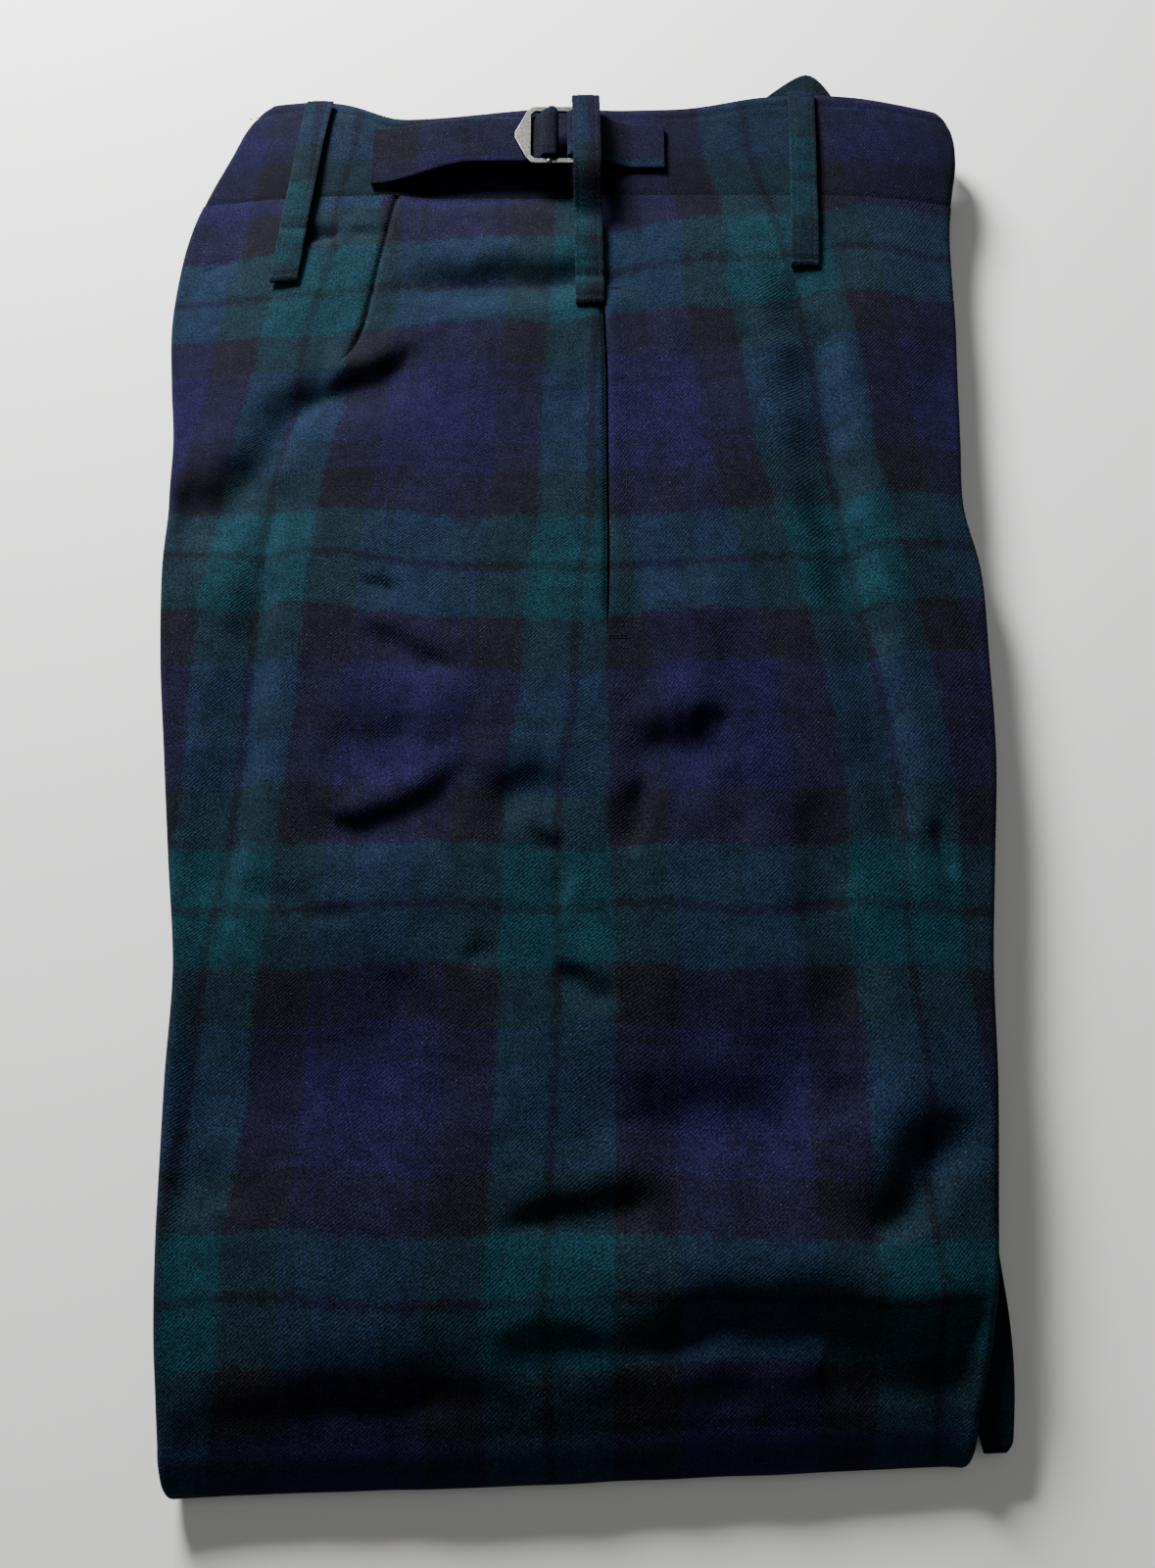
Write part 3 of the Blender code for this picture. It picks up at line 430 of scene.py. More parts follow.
def tartan_wool(name, painted_shade=1.0):
    """Twill woven wool: three dyes in both warp and weft, matt, with a short bright nap. A factor
    below one scales all its colour darker, as painted shade.
    """
    settings = bpy.context.scene.trews_cloth
    dyes = {stripe.dye: (*getattr(settings, stripe.dye), 1.0) for stripe in SETT}
    material, tree = new_material(name)
    cut = add(tree, "ShaderNodeUVMap", uv_map="cut").outputs["UV"]
    # The yarn wanders by about a thread, so no stripe has a ruled edge
    inputs = {"Vector": cut, "Scale": 62.0, "Detail": 6.0, "Roughness": 0.85}
    wander = add(tree, "ShaderNodeTexNoise", inputs).outputs["Color"]
    inputs = {0: wander, 1: (0.5, 0.5, 0.5)}
    wander = add(tree, "ShaderNodeVectorMath", inputs, operation="SUBTRACT").outputs[0]
    inputs = {0: wander, 1: (0.14, 0.13, 0.0), 2: cut}
    wandered = add(tree, "ShaderNodeVectorMath", inputs, operation="MULTIPLY_ADD").outputs[0]
    parts = add(tree, "ShaderNodeSeparateXYZ", {0: wandered}).outputs
    warp, weft = (yarn(tree, parts[along], dyes) for along in ("X", "Y"))
    # The twill's ribs rise from left to right, a warp float beside a weft float
    straight = add(tree, "ShaderNodeSeparateXYZ", {0: cut}).outputs
    inputs = {0: straight["Y"], 1: HALF_SETT_LENGTH / HALF_SETT}
    lengthwise = add(tree, "ShaderNodeMath", inputs, operation="MULTIPLY").outputs[0]
    inputs = {0: straight["X"], 1: lengthwise}
    diagonal = add(tree, "ShaderNodeMath", inputs, operation="ADD").outputs[0]
    ribs_a_half_sett = HALF_SETT * MM / settings.twill_pitch
    inputs = {0: diagonal, 1: 2.0 * math.pi * ribs_a_half_sett}
    phase = add(tree, "ShaderNodeMath", inputs, operation="MULTIPLY").outputs[0]
    rib = add(tree, "ShaderNodeMath", {0: phase}, operation="SINE").outputs[0]
    inputs = {"Value": rib, "From Min": -0.9, "From Max": 0.9, "To Min": 0.45, "To Max": 0.55}
    face = add(tree, "ShaderNodeMapRange", inputs).outputs["Result"]
    inputs = {"Factor": face, 6: warp, 7: weft}
    woven = add(tree, "ShaderNodeMix", inputs, data_type="RGBA").outputs[2]
    # Each yarn is spun from darker and lighter fibres: patches the size of a few threads
    inputs = {"Vector": cut, "Scale": 150.0, "Detail": 5.0, "Roughness": 0.75}
    mottle = add(tree, "ShaderNodeTexNoise", inputs).outputs["Fac"]
    inputs = {"Value": mottle, "From Min": 0.4, "From Max": 0.6, "To Min": 0.35, "To Max": 1.7}
    fleck = add(tree, "ShaderNodeMapRange", inputs).outputs["Result"]
    inputs = {"Vector": cut, "Scale": 16.0, "Detail": 6.0, "Roughness": 0.85}
    worn = add(tree, "ShaderNodeTexNoise", inputs).outputs["Fac"]
    inputs = {"Value": worn, "From Min": 0.38, "From Max": 0.62, "To Min": 0.7, "To Max": 1.3}
    bloom = add(tree, "ShaderNodeMapRange", inputs).outputs["Result"]
    value = add(tree, "ShaderNodeMath", {0: fleck, 1: bloom}, operation="MULTIPLY").outputs[0]
    # Painted shade: the whole colour scaled by the factor, so that a piece's copy of the wool comes
    # out darker than the panels'
    value = add(tree, "ShaderNodeMath", {0: value, 1: painted_shade}, operation="MULTIPLY").outputs[0]
    inputs = {0: woven, "Scale": value}
    dyed = add(tree, "ShaderNodeVectorMath", inputs, operation="SCALE").outputs[0]
    # Pale specks: partly pale fibres and lint caught in the nap, partly painted highlights of fibres
    # that catch the light
    inputs = {"Vector": cut, "Scale": 230.0, "Detail": 1.0}
    caught = add(tree, "ShaderNodeTexNoise", inputs).outputs["Fac"]
    inputs = {"Value": caught, "From Min": 0.73, "From Max": 0.78, "To Min": 0.0, "To Max": 0.8}
    lint_and_highlight = add(tree, "ShaderNodeMapRange", inputs).outputs["Result"]
    inputs = {"Factor": lint_and_highlight, 6: dyed, 7: linear("5C6674")}
    dyed = add(tree, "ShaderNodeMix", inputs, data_type="RGBA").outputs[2]
    inputs = {0: mottle, 1: 7.0, 2: rib}
    raised = add(tree, "ShaderNodeMath", inputs, operation="MULTIPLY_ADD").outputs[0]
    inputs = {"Height": raised, "Strength": 0.5, "Distance": 0.00011}
    bump = add(tree, "ShaderNodeBump", inputs).outputs["Normal"]
    inputs = {"Base Color": dyed, "Normal": bump, "Roughness": 0.92, "IOR": 1.45}
    inputs |= {"Specular IOR Level": 0.04, "Sheen Weight": settings.nap}
    inputs |= {"Sheen Roughness": 0.55, "Sheen Tint": linear("8890B0")}
    shader = add(tree, "ShaderNodeBsdfPrincipled", inputs)
    add(tree, "ShaderNodeOutputMaterial", {"Surface": shader.outputs["BSDF"]})
    return material


def nickel_plate(name):
    """Stamped steel, nickel plated: pale, warm grey, with fine rubbed marks from the cloth."""
    material, tree = new_material(name)
    place = add(tree, "ShaderNodeTexCoord").outputs["Object"]
    inputs = {"Vector": place, "Scale": 900.0, "Detail": 4.0}
    rubbed = add(tree, "ShaderNodeTexNoise", inputs).outputs["Fac"]
    inputs = {"Value": rubbed, "From Min": 0.3, "From Max": 0.7, "To Min": 0.3, "To Max": 0.5}
    rough = add(tree, "ShaderNodeMapRange", inputs).outputs["Result"]
    inputs = {"Base Color": linear("5E5C58"), "Metallic": 1.0, "Roughness": rough}
    shader = add(tree, "ShaderNodeBsdfPrincipled", inputs)
    add(tree, "ShaderNodeOutputMaterial", {"Surface": shader.outputs["BSDF"]})
    return material


def sewing_thread(name):
    """Spun polyester thread: dark, matt, with a slight gleam along the stitch."""
    material, tree = new_material(name)
    inputs = {"Base Color": linear("0B0B10"), "Roughness": 0.7, "Specular IOR Level": 0.1}
    shader = add(tree, "ShaderNodeBsdfPrincipled", inputs)
    add(tree, "ShaderNodeOutputMaterial", {"Surface": shader.outputs["BSDF"]})
    return material


def floor_board(name):
    """Matt white paper."""
    material, tree = new_material(name)
    colour = (*bpy.context.scene.trews_stage.floor, 1.0)
    inputs = {"Base Color": colour, "Roughness": 0.9, "Specular IOR Level": 0.1}
    shader = add(tree, "ShaderNodeBsdfPrincipled", inputs)
    add(tree, "ShaderNodeOutputMaterial", {"Surface": shader.outputs["BSDF"]})
    return material


def cloth_grid(columns, rows, where, cut, closed=False):
    """A sheet of cloth from a plain grid: where() places its threads and cut() gives the tartan.

    Both take arrays of columns and rows. cut() also takes the column of each face's middle, so
    that a pattern can break along a seam inside the piece.
    """
    mesh = bmesh.new()
    bmesh.ops.create_grid(mesh, x_segments=columns, y_segments=rows, size=1.0)
    mesh.verts.index_update()
    flat = np.array([vert.co[:2] for vert in mesh.verts])
    c, r = np.rint((flat + 1.0) / 2.0 * (columns, rows)).T
    points = where(c, r)
    layer = mesh.loops.layers.uv.new("cut")
    corners = np.array([[loop.vert.index for loop in face.loops] for face in mesh.faces])
    middle = np.repeat(c[corners].mean(axis=1), 4)
    corner = corners.ravel()
    units = iter(cut(c[corner], r[corner], middle, points[corner]))
    for vert, point in zip(mesh.verts, points - (0.0, ORIGIN_Y, 0.0)):
        vert.co = point * MM
    for face in mesh.faces:
        face.smooth = True
        for loop in face.loops:
            loop[layer].uv = next(units)
    for edge in mesh.edges:
        edge.smooth = not edge.is_boundary
    if closed:
        bmesh.ops.remove_doubles(mesh, verts=mesh.verts, dist=0.000001)
    return mesh


def finished(name, mesh, material, replaces=True):
    """The piece's object, which rides on the body and stands for the CAD node of its name."""
    shown = f"{name}_shown" if replaces else name
    data = bpy.data.meshes.new(shown)
    mesh.to_mesh(data)
    mesh.free()
    data.materials.append(material)
    obj = bpy.data.objects.new(shown, data)
    bpy.context.scene.collection.objects.link(obj)
    if replaces:
        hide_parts(name)
    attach(obj, "root")
    return obj


def cloth_piece(name, size, where, cut, material, slot, thickness, bevel=0.0):
    """A sheet with its outer face up, its thickness below that face and its edges rounded."""
    mesh = cloth_grid(*size, where, cut)
    mesh.faces.ensure_lookup_table()
    highest = max(mesh.faces, key=lambda face: face.calc_center_median().z)
    highest.normal_update()
    if highest.normal.z < 0.0:
        bmesh.ops.reverse_faces(mesh, faces=mesh.faces)
    obj = finished(name, mesh, material)
    solid = obj.modifiers.new("Cloth", "SOLIDIFY")
    solid.thickness = thickness * MM
    solid.offset = -1.0
    solid.use_even_offset = True
    if bevel:
        edge = obj.modifiers.new("Soft edge", "BEVEL")
        edge.width = bevel * MM
        edge.segments = 3
        edge.limit_method = "ANGLE"
        edge.angle_limit = math.radians(60.0)
    return obj


def crease_section(c, edge, inward, radius, turn_steps):
    """Across a crease: x, depth, and the length of cloth from the flat's start."""
    turned = np.clip((c - TAIL_STEPS) / turn_steps, 0.0, 1.0)
    angle = math.pi * (1.0 - turned)
    run = np.clip(1.0 - c / TAIL_STEPS, 0.0, 1.0)
    x = edge + inward * radius * (1.0 - np.sin(angle)) + inward * CREASE_TAIL * run
    depth = radius * (1.0 - np.cos(angle))
    length = radius * angle + CREASE_TAIL * run
    return x, depth, length


# A panel's columns: the tail past its crease, the crease's turn, the flat, and those by the seam.
# Its rows: the top, the knee fold and the way back underneath.
TAIL_STEPS, TURN_STEPS, FLAT_STEPS, SEAM_STEPS = 3, 10, 98, 9
SEAM_OFFSETS = (9.0, 7.0, 5.2, 3.9, 2.9, 2.1, 1.4, 0.8, 0.35, 0.0)
PANEL_COLUMNS = TAIL_STEPS + TURN_STEPS + FLAT_STEPS + SEAM_STEPS
TOP_ROWS, KNEE_ROWS, UNDER_ROWS = 284, 22, 36
PANEL_ROWS = TOP_ROWS + KNEE_ROWS + UNDER_ROWS
DART_AT = 39
DART_COLUMN = TAIL_STEPS + TURN_STEPS + DART_AT
DART_OFFSETS = (0.0, 0.6, 1.2, 2.0, 3.4, 5.5)
DART_STEPS = len(DART_OFFSETS) - 1


def leg_rows(r):
    """For each row of a panel: its y, its turn round the knee fold, whether it is underneath,
    and the y that it would have if the cloth were laid out flat."""
    first = BAND_SEAM_Y - SEAM_GAP
    on_top = first + (KNEE_Y - first) * np.clip(r / TOP_ROWS, 0.0, 1.0)
    turn = math.pi * np.clip((r - TOP_ROWS) / KNEE_ROWS, 0.0, 1.0)
    back = np.clip((r - TOP_ROWS - KNEE_ROWS) / UNDER_ROWS, 0.0, 1.0)
    under = r >= TOP_ROWS + KNEE_ROWS
    y = np.where(under, KNEE_Y + (HEM_Y - KNEE_Y) * back, on_top)
    flat_y = on_top - turn * KNEE_HEIGHT / 2.0 - back * (HEM_Y - KNEE_Y)
    return y, turn, under, flat_y


def leg_edge(column, y, turn, under):
    """Where an edge or the side seam runs: on top, round the knee fold and underneath."""
    share = np.where(under, 1.0, smooth(turn / math.pi))
    top = stack(column, np.where(under, KNEE_Y, y))
    shin = reading(SHIN_STATIONS, column, y)
    return top + (shin - top) * share


def panel_section(side, c, r):
    """Where a panel's threads lie: x, depth below the outer face, flat x, and the crease's start."""
    y, turn, under, _ = leg_rows(r)
    edge = leg_edge(EDGES[side], y, turn, under)
    gap = SEAM_GAP / 2.0 * np.maximum(pocket_open(y) * ~under, 0.1)
    seam = leg_edge("seam", y, turn, under) + side * gap
    start = edge - side * CREASE_RADIUS
    x, depth, length = crease_section(c, edge, -side, CREASE_RADIUS, TURN_STEPS)
    k = c - TAIL_STEPS - TURN_STEPS
    near_seam = seam + side * SEAM_OFFSETS[0]
    share = np.clip(k / FLAT_STEPS, 0.0, 1.0)
    flat = start + (near_seam - start) * share
    if side < 0:
        at = DART_AT / FLAT_STEPS
        dart = np.where(under | (turn > 0), start + (near_seam - start) * at, dart_x(y))
        beside = DART_OFFSETS[-1]
        before = DART_AT - DART_STEPS
        after = FLAT_STEPS - before - 2 * DART_STEPS
        flat = np.where(
            k < before,
            start + (dart - beside - start) * k / before,
            dart + beside + (near_seam - dart - beside) * (k - before - 2 * DART_STEPS) / after,
        )
        off = k - before - DART_STEPS
        close = np.sign(off) * np.interp(np.abs(off), range(DART_STEPS + 1), DART_OFFSETS)
        flat = np.where(np.abs(off) <= DART_STEPS, dart + close, flat)
    by_seam = seam + side * np.interp(k - FLAT_STEPS, range(SEAM_STEPS + 1), SEAM_OFFSETS)
    flat = np.where(k > FLAT_STEPS, by_seam, flat)
    in_flat = k > 0
    flat_x = np.where(in_flat, flat, start + side * length)
    return (
        np.where(in_flat, flat, x),
        np.where(in_flat, 0.0, depth),
        flat_x,
        np.where(in_flat, flat, start),
    )


def pocket_open(y):
    """How open the pocket's mouth lies at a place along the side seam, from 0 to 1."""
    return smooth((POCKET_TOP_Y - y) / 14.0) * smooth((y - POCKET_FOOT_Y) / 14.0)


def seam_dip(side, x, y, seam):
    """The seam's edge rolls down into the stitching, and more along the pocket's mouth."""
    off = np.abs(x - seam)
    open_mouth = pocket_open(y)
    roll = (0.1 + (1.2 if side < 0 else 0.35) * open_mouth) * ridge(off, 1.4)
    swell = 0.35 * open_mouth * ridge(off - 5.0, 3.5)
    lift = 0.9 * open_mouth * ridge(off, 7.0) if side > 0 else 0.0
    return swell + lift - roll


def dart_dip(x, y):
    off = np.abs(x - dart_x(y))
    sewn = smooth((y - 129.0) / 14.0)
    return sewn * (0.3 * ridge(off - 4.0, 3.0) - 1.5 * ridge(off, 1.1))


def panel_place(side):
    def where(c, r):
        y, turn, under, _ = leg_rows(r)
        x, depth, _, level_x = panel_section(side, c, r)
        seam = leg_edge("seam", y, turn, under)
        detail = seam_dip(side, x, y, seam)
        if side < 0:
            detail = detail + dart_dip(x, y)
        height = top_height(level_x, y) + detail * ~under
        turned = turn / math.pi
        angle = KNEE_SLOPE + turned * (math.pi - KNEE_SLOPE)
        half = (height - 2.0 * depth) / (1.0 + math.cos(KNEE_SLOPE))
        z = np.where(turn > 0, depth + half * (1.0 + np.cos(angle)), height - depth)
        z = np.where(under, depth, z)
        sag = (KNEE_HEIGHT - height) * smooth(1.0 - turned)
        reach = KNEE_REACH * (KNEE_HEIGHT / 2.0 - depth - KNEE_DRAW * sag)
        bulge = reach * (np.sin(angle) - math.sin(KNEE_SLOPE) * (1.0 - turned))
        y = np.where((turn > 0) & ~under, KNEE_Y - bulge, y)
        mouth = 0.55 * pocket_open(y) * ridge(x - seam, 6.0) if side > 0 else 0.0
        return placed(x + mouth * ~under * (turn == 0), y, z)

    return where


def panel_cut(side):
    def cut(c, r, middle, points):
        y, turn, under, flat_y = leg_rows(r)
        _, _, flat_x, _ = panel_section(side, c, r)
        at = np.maximum(flat_y, KNEE_Y)
        u = column_units(side, flat_x, at, middle < DART_COLUMN)
        u = u + 0.009 * np.sin(flat_y / 19.0 + 1.7 * np.sin(flat_x / 43.0 + flat_y / 61.0))
        # Below the pocket both panels change colour at the seam itself
        off = flat_x - leg_edge("seam", y, turn, under)
        closed = smooth((POCKET_FOOT_Y - flat_y) / 20.0)
        u = u + side * 0.02 * closed * ridge(off, 8.0)
        v = row_units(flat_x, flat_y)
        v = v + 0.010 * np.sin(flat_x / 17.0 + 1.9 * np.sin(flat_y / 39.0 - flat_x / 57.0))
        return np.stack([u, v], axis=-1)

    return cut


# The hidden layers: the radius of their creased edges, their gap to the panels, and their steps
HIDDEN_LIP = 2.9
HIDDEN_TOP = 2.6
SECTION_TOP, SECTION_FLOOR = 60, 14
TUCK = CREASE_RADIUS + CREASE_TAIL + LAYER_GAP


def lip(centre, side, radius):
    """Half round a hidden layer's creased edge, from its top to its foot."""
    angles = [math.pi * i / 8.0 for i in range(9)]
    x, z = centre
    return [(x + side * radius * math.sin(a), z + radius * math.cos(a)) for a in angles]


def waver(y, phase):
    """How far a hidden crease draws back from a straight line at a place along the legs."""
    return 0.7 + 0.5 * math.sin(y / 31.0 + phase) + 0.25 * math.sin(y / 11.0 + 2.0 * phase)


def hidden_edge(side, y, turned, top, bottom, shoulder, foot):
    """The layered edge of the hidden legs on one side, from the top down: x, y and height."""
    edge, shin_edge = (float(leg_edge(EDGES[side], y, 0.0, under)) for under in (False, True))
    peek = float(stack("peek", y)) if side > 0 else 0.0
    peek = max(peek - 0.12 * turned**2, 0.0)
    apart = abs(edge) - abs(shin_edge)
    radius = HIDDEN_LIP if apart > 20.0 else min(HIDDEN_LIP, (shoulder - foot) / 4.0 - 0.1)
    thigh = (edge - side * (radius + 0.6 - peek + waver(y, side)), shoulder - radius)
    shin = (shin_edge - side * (radius + 0.2 - peek + waver(y, 2.0 * side)), foot + radius)
    low, middle = foot + 2.0 * radius, shoulder - 2.0 * radius
    mouth_x = side * min(abs(shin_edge) + 6.0, abs(thigh[0]) - 1.0)
    inner = [(edge - side * TUCK, top), (edge - side * TUCK, shoulder)]
    inner.append((side * min(abs(edge) + 0.5, abs(thigh[0]) - 0.5), shoulder))
    outer = lip(thigh, side, radius) + [(mouth_x, max(low + 0.6, middle))]
    outer += [(min(abs(shin[0]) - 4.0, abs(mouth_x) - 1.0) * side, (low + middle) / 2.0)]
    outer += lip(shin, side, radius)
    last = [(side * min(abs(edge) + 0.5, abs(shin[0]) - 0.5), foot)]
    last += [(shin_edge - side * TUCK, foot), (shin_edge - side * TUCK, bottom)]
    share = float(smooth((KNEE_SKEW_Y - y) / (KNEE_SKEW_Y - KNEE_Y)))
    drop = PEEK_DROP * share if side > 0 else 0.0
    at = y - turned
    return (
        [(x, at, z) for x, z in inner]
        + [(x, at - drop, z) for x, z in outer]
        + [(x, at, z) for x, z in last]
    )


def hem_edge(side, y, bottom, foot):
    """The edge of the folded shins where they run on under the waistbands."""
    edge = float(leg_edge(EDGES[side], y, 0.0, True))
    radius = (HEM_TOP - foot) / 4.0 - 0.1
    upper = (edge - side * (radius + 0.8 + waver(y, side)), HEM_TOP - radius)
    lower = (edge - side * (radius + 0.2 + waver(y, 2.0 * side)), foot + radius)
    points = [(edge - side * TUCK, HEM_TOP)] * 3 + lip(upper, side, radius)
    points += [(edge - side * 8.0, (HEM_TOP + foot) / 2.0)] * 2
    points += lip(lower, side, radius)
    points += [(edge - side * TUCK, foot)] * 2 + [(edge - side * TUCK, bottom)]
    return [(x, y, z) for x, z in points]


def hidden_ring(y, turned, hem):
    """One section of the hidden layers, from the top left round."""
    foot = 2.0 * CREASE_RADIUS + 0.4 + 0.4 * turned
    radius = KNEE_HEIGHT / 2.0
    wall = CLOTH + LAYER_GAP
    bottom = wall + radius - wall - math.sqrt((radius - wall) ** 2 - turned**2)
    if hem:
        sides = {side: hem_edge(side, y, bottom, foot) for side in (-1, 1)}
    else:
        shoulder = float(edge_height(y)) - foot
        under = CLOTH + HIDDEN_TOP + bottom - wall
        sides = {}
        for side in (-1, 1):
            inner = float(leg_edge(EDGES[side], y, 0.0, False)) - side * TUCK
            top = float(top_height(np.array([inner]), y)[0]) - under
            sides[side] = hidden_edge(side, y, turned, top, bottom, shoulder, foot)
    xs = np.linspace(sides[-1][0][0], sides[1][0][0], SECTION_TOP)[1:-1]
    if hem:
        heights = np.full_like(xs, HEM_TOP)
    else:
        heights = top_height(xs, y) - CLOTH - HIDDEN_TOP - bottom + wall
    at = y - turned
    floor_xs = np.linspace(sides[1][-1][0], sides[-1][-1][0], SECTION_FLOOR)[1:-1]
    ring = [(x, at, z) for x, z in zip(xs, heights)] + sides[1]
    return ring + [(x, at, bottom) for x in floor_xs] + list(reversed(sides[-1]))


def hidden_sections():
    """The hidden layers' sections from the hems to the knee fold."""
    seam = BAND_SEAM_Y - SEAM_GAP
    sections = [hidden_ring(y, 0.0, True) for y in np.linspace(HEM_Y - 2.0, seam, 7)]
    sections += [hidden_ring(y, 0.0, False) for y in np.linspace(seam - 1.5, KNEE_Y, 130)]
    return sections + [hidden_ring(KNEE_Y, turned, False) for turned in (1.5, 2.5, 3.5, 4.5)]


def hidden_mesh():
    table = np.array([ring + ring[:1] for ring in hidden_sections()])

    def where(c, r):
        x, y, z = table[r.astype(int), c.astype(int)].T
        return placed(x, y, z)

    def cut(c, r, middle, points):
        steps = np.linalg.norm(np.diff(table, axis=1), axis=2)
        run = np.concatenate([np.zeros((len(table), 1)), np.cumsum(steps, axis=1)], axis=1)
        c, r = c.astype(int), r.astype(int)
        return np.stack([run[r, c] / HALF_SETT, table[r, c, 1] / HALF_SETT_LENGTH], axis=-1)

    mesh = cloth_grid(table.shape[1] - 1, len(table) - 1, where, cut, closed=True)
    rims = [edge for edge in mesh.edges if edge.is_boundary]
    ends = bmesh.ops.holes_fill(mesh, edges=rims, sides=0)["faces"]
    bmesh.ops.triangulate(mesh, faces=ends)
    bmesh.ops.recalc_face_normals(mesh, faces=mesh.faces)
    return mesh


# The waistbands' steps
BAND_TURN, BAND_FLAT, BAND_ROWS = 10, 190, 44
BAND_COLUMNS = 2 * (TAIL_STEPS + BAND_TURN) + BAND_FLAT
FAR_COLUMNS, FAR_ROWS = 120, 12


def band_edge(side, share):
    top = float(band_top(side * 150.0))
    return stack(EDGES[side], BAND_SEAM_Y + (top - BAND_SEAM_Y) * share)


def band_detail(x, share, top_y):
    """The waistband's crown, its stitched upper edge and its seam."""
    down, up = (1.0 - share) * (top_y - BAND_SEAM_Y), share * (top_y - BAND_SEAM_Y)
    crown = BAND_CROWN * np.sin(math.pi * share)
    stitched = -0.4 * ridge(down - 6.5, 1.0) - 0.7 * ridge(down, 1.8)
    seam = -0.3 * ridge(up, 1.2)
    side = -0.5 * ridge(x - 6.0, 1.2)
    pucker = 0.28 * np.sin(x / 5.3 + 1.2 * np.sin(x / 17.0)) * ridge(down - 6.5, 7.0)
    wave = 0.5 * np.sin(x / 21.0 + 0.6) * np.sin(math.pi * share)
    return crown + stitched + seam + side + pucker + wave


def band_place(c, r):
    share = r / BAND_ROWS
    left, right = band_edge(-1, share), band_edge(1, share)
    radius = BAND_CREASE_RADIUS
    xl, depth_l, _ = crease_section(c, left, 1, radius, BAND_TURN)
    xr, depth_r, _ = crease_section(BAND_COLUMNS - c, right, -1, radius, BAND_TURN)
    along = np.clip((c - TAIL_STEPS - BAND_TURN) / BAND_FLAT, 0.0, 1.0)
    flat = left + radius + (right - left - 2.0 * radius) * along
    x = np.where(along <= 0.0, xl, np.where(along >= 1.0, xr, flat))
    depth = np.where(along <= 0.0, depth_l, np.where(along >= 1.0, depth_r, 0.0))
    top_y = band_top(x)
    y = BAND_SEAM_Y + (top_y - BAND_SEAM_Y) * share + (1.0 - share) * depth / radius
    z = top_height(flat, y) + band_detail(flat, share, top_y) - depth
    return np.stack([x, y, z], axis=-1)


def band_cut(c, r, middle, points):
    x, y = points[:, 0], points[:, 1]
    back = (x - reading(ACROSS, "left", y)) / HALF_SETT
    front = 2.0 + (x - reading(ACROSS, "right", y)) / HALF_SETT
    u = np.where(middle < BAND_COLUMNS / 2.0, back, front)
    return np.stack([u, -0.18 - (y - BAND_SEAM_Y) / HALF_SETT_LENGTH], axis=-1)


def far_band_place(c, r):
    share = r / FAR_ROWS
    inset = BAND_CREASE_RADIUS + CREASE_TAIL + 3.0 * LAYER_GAP
    left, right = band_edge(-1, share) + inset, band_edge(1, share) - inset
    x = left + (right - left) * c / FAR_COLUMNS
    y = BAND_SEAM_Y + (reading(FAR_BAND_TOP, "y", x, "x") - BAND_SEAM_Y) * share
    z = np.minimum(FAR_BAND_HEIGHT, top_height(x, y) - BAND_CLOTH - LAYER_GAP)
    return np.stack([x, y, z], axis=-1)


def plain_cut(u0, v0, along=(1.0, 0.0)):
    """The tartan on a small piece: its own start in the sett, and the way its length runs."""

    def cut(c, r, middle, points):
        x, y = points[:, 0] - points[:, 0].min(), points[:, 1] - points[:, 1].min()
        across = x * along[0] + y * along[1]
        length = y * along[0] + x * along[1]
        return np.stack([u0 + across / HALF_SETT, v0 + length / HALF_SETT_LENGTH], axis=-1)

    return cut


def surface(x, y):
    """The height of whatever cloth shows on top: the waistband or a panel."""
    top_y = band_top(x)
    share = np.clip((y - BAND_SEAM_Y) / (top_y - BAND_SEAM_Y), 0.0, 1.0)
    return top_height(x, y) + np.where(y > BAND_SEAM_Y, BAND_CROWN * np.sin(math.pi * share), 0.0)


LOOP_COLUMNS, LOOP_ROWS = 16, 110


def loop_lift(loop, y):
    """How far a loop stands off the cloth under it: more over the adjuster's tab."""
    share = np.clip((loop.top_y - y) / (loop.top_y - loop.base_y), 0.0, 1.0)
    lift = 1.4 * np.sin(math.pi * share)
    if loop.name == "side_belt_loop":
        lift = lift + 11.0 * smooth((y - 204.0) / 26.0) * smooth((276.5 - y) / 12.0)
    return lift


def loop_point(loop, across, share):
    """A place on a loop: across from -1 to 1, share from the waist down."""
    y = loop.top_y - (loop.top_y - loop.base_y) * share
    x = loop.top_x + (loop.base_x - loop.top_x) * share
    half = LOOP_WIDTH / 2.0
    rest = np.max(
        [surface(x + i * half, y + step) for i in (-1.0, 0.0, 1.0) for step in (-4.0, 0.0, 4.0)],
        axis=0,
    )
    off = np.abs(across) * half
    stitched = -0.35 * ridge(off - 4.2, 0.6)
    rolled = -0.55 * ridge(half - off, 0.7)
    from_base = y - loop.base_y
    turned = -0.9 * ridge(from_base, 1.0) - 0.5 * ridge(from_base - 3.4, 0.8)
    tilt = loop.tilt * across * np.sin(math.pi * np.clip(share, 0.0, 1.0)) ** 0.5
    height = rest + loop_lift(loop, y) + LOOP_CLOTH + SEAM_GAP + stitched + rolled + turned + tilt
    return np.stack([x + across * half, y, height], axis=-1)


def loop_place(loop):
    def where(c, r):
        return loop_point(loop, 2.0 * c / LOOP_COLUMNS - 1.0, r / LOOP_ROWS)

    return where


def buckle_rest():
    return float(surface(np.array([BUCKLE_X]), np.array([BUCKLE_Y]))[0])


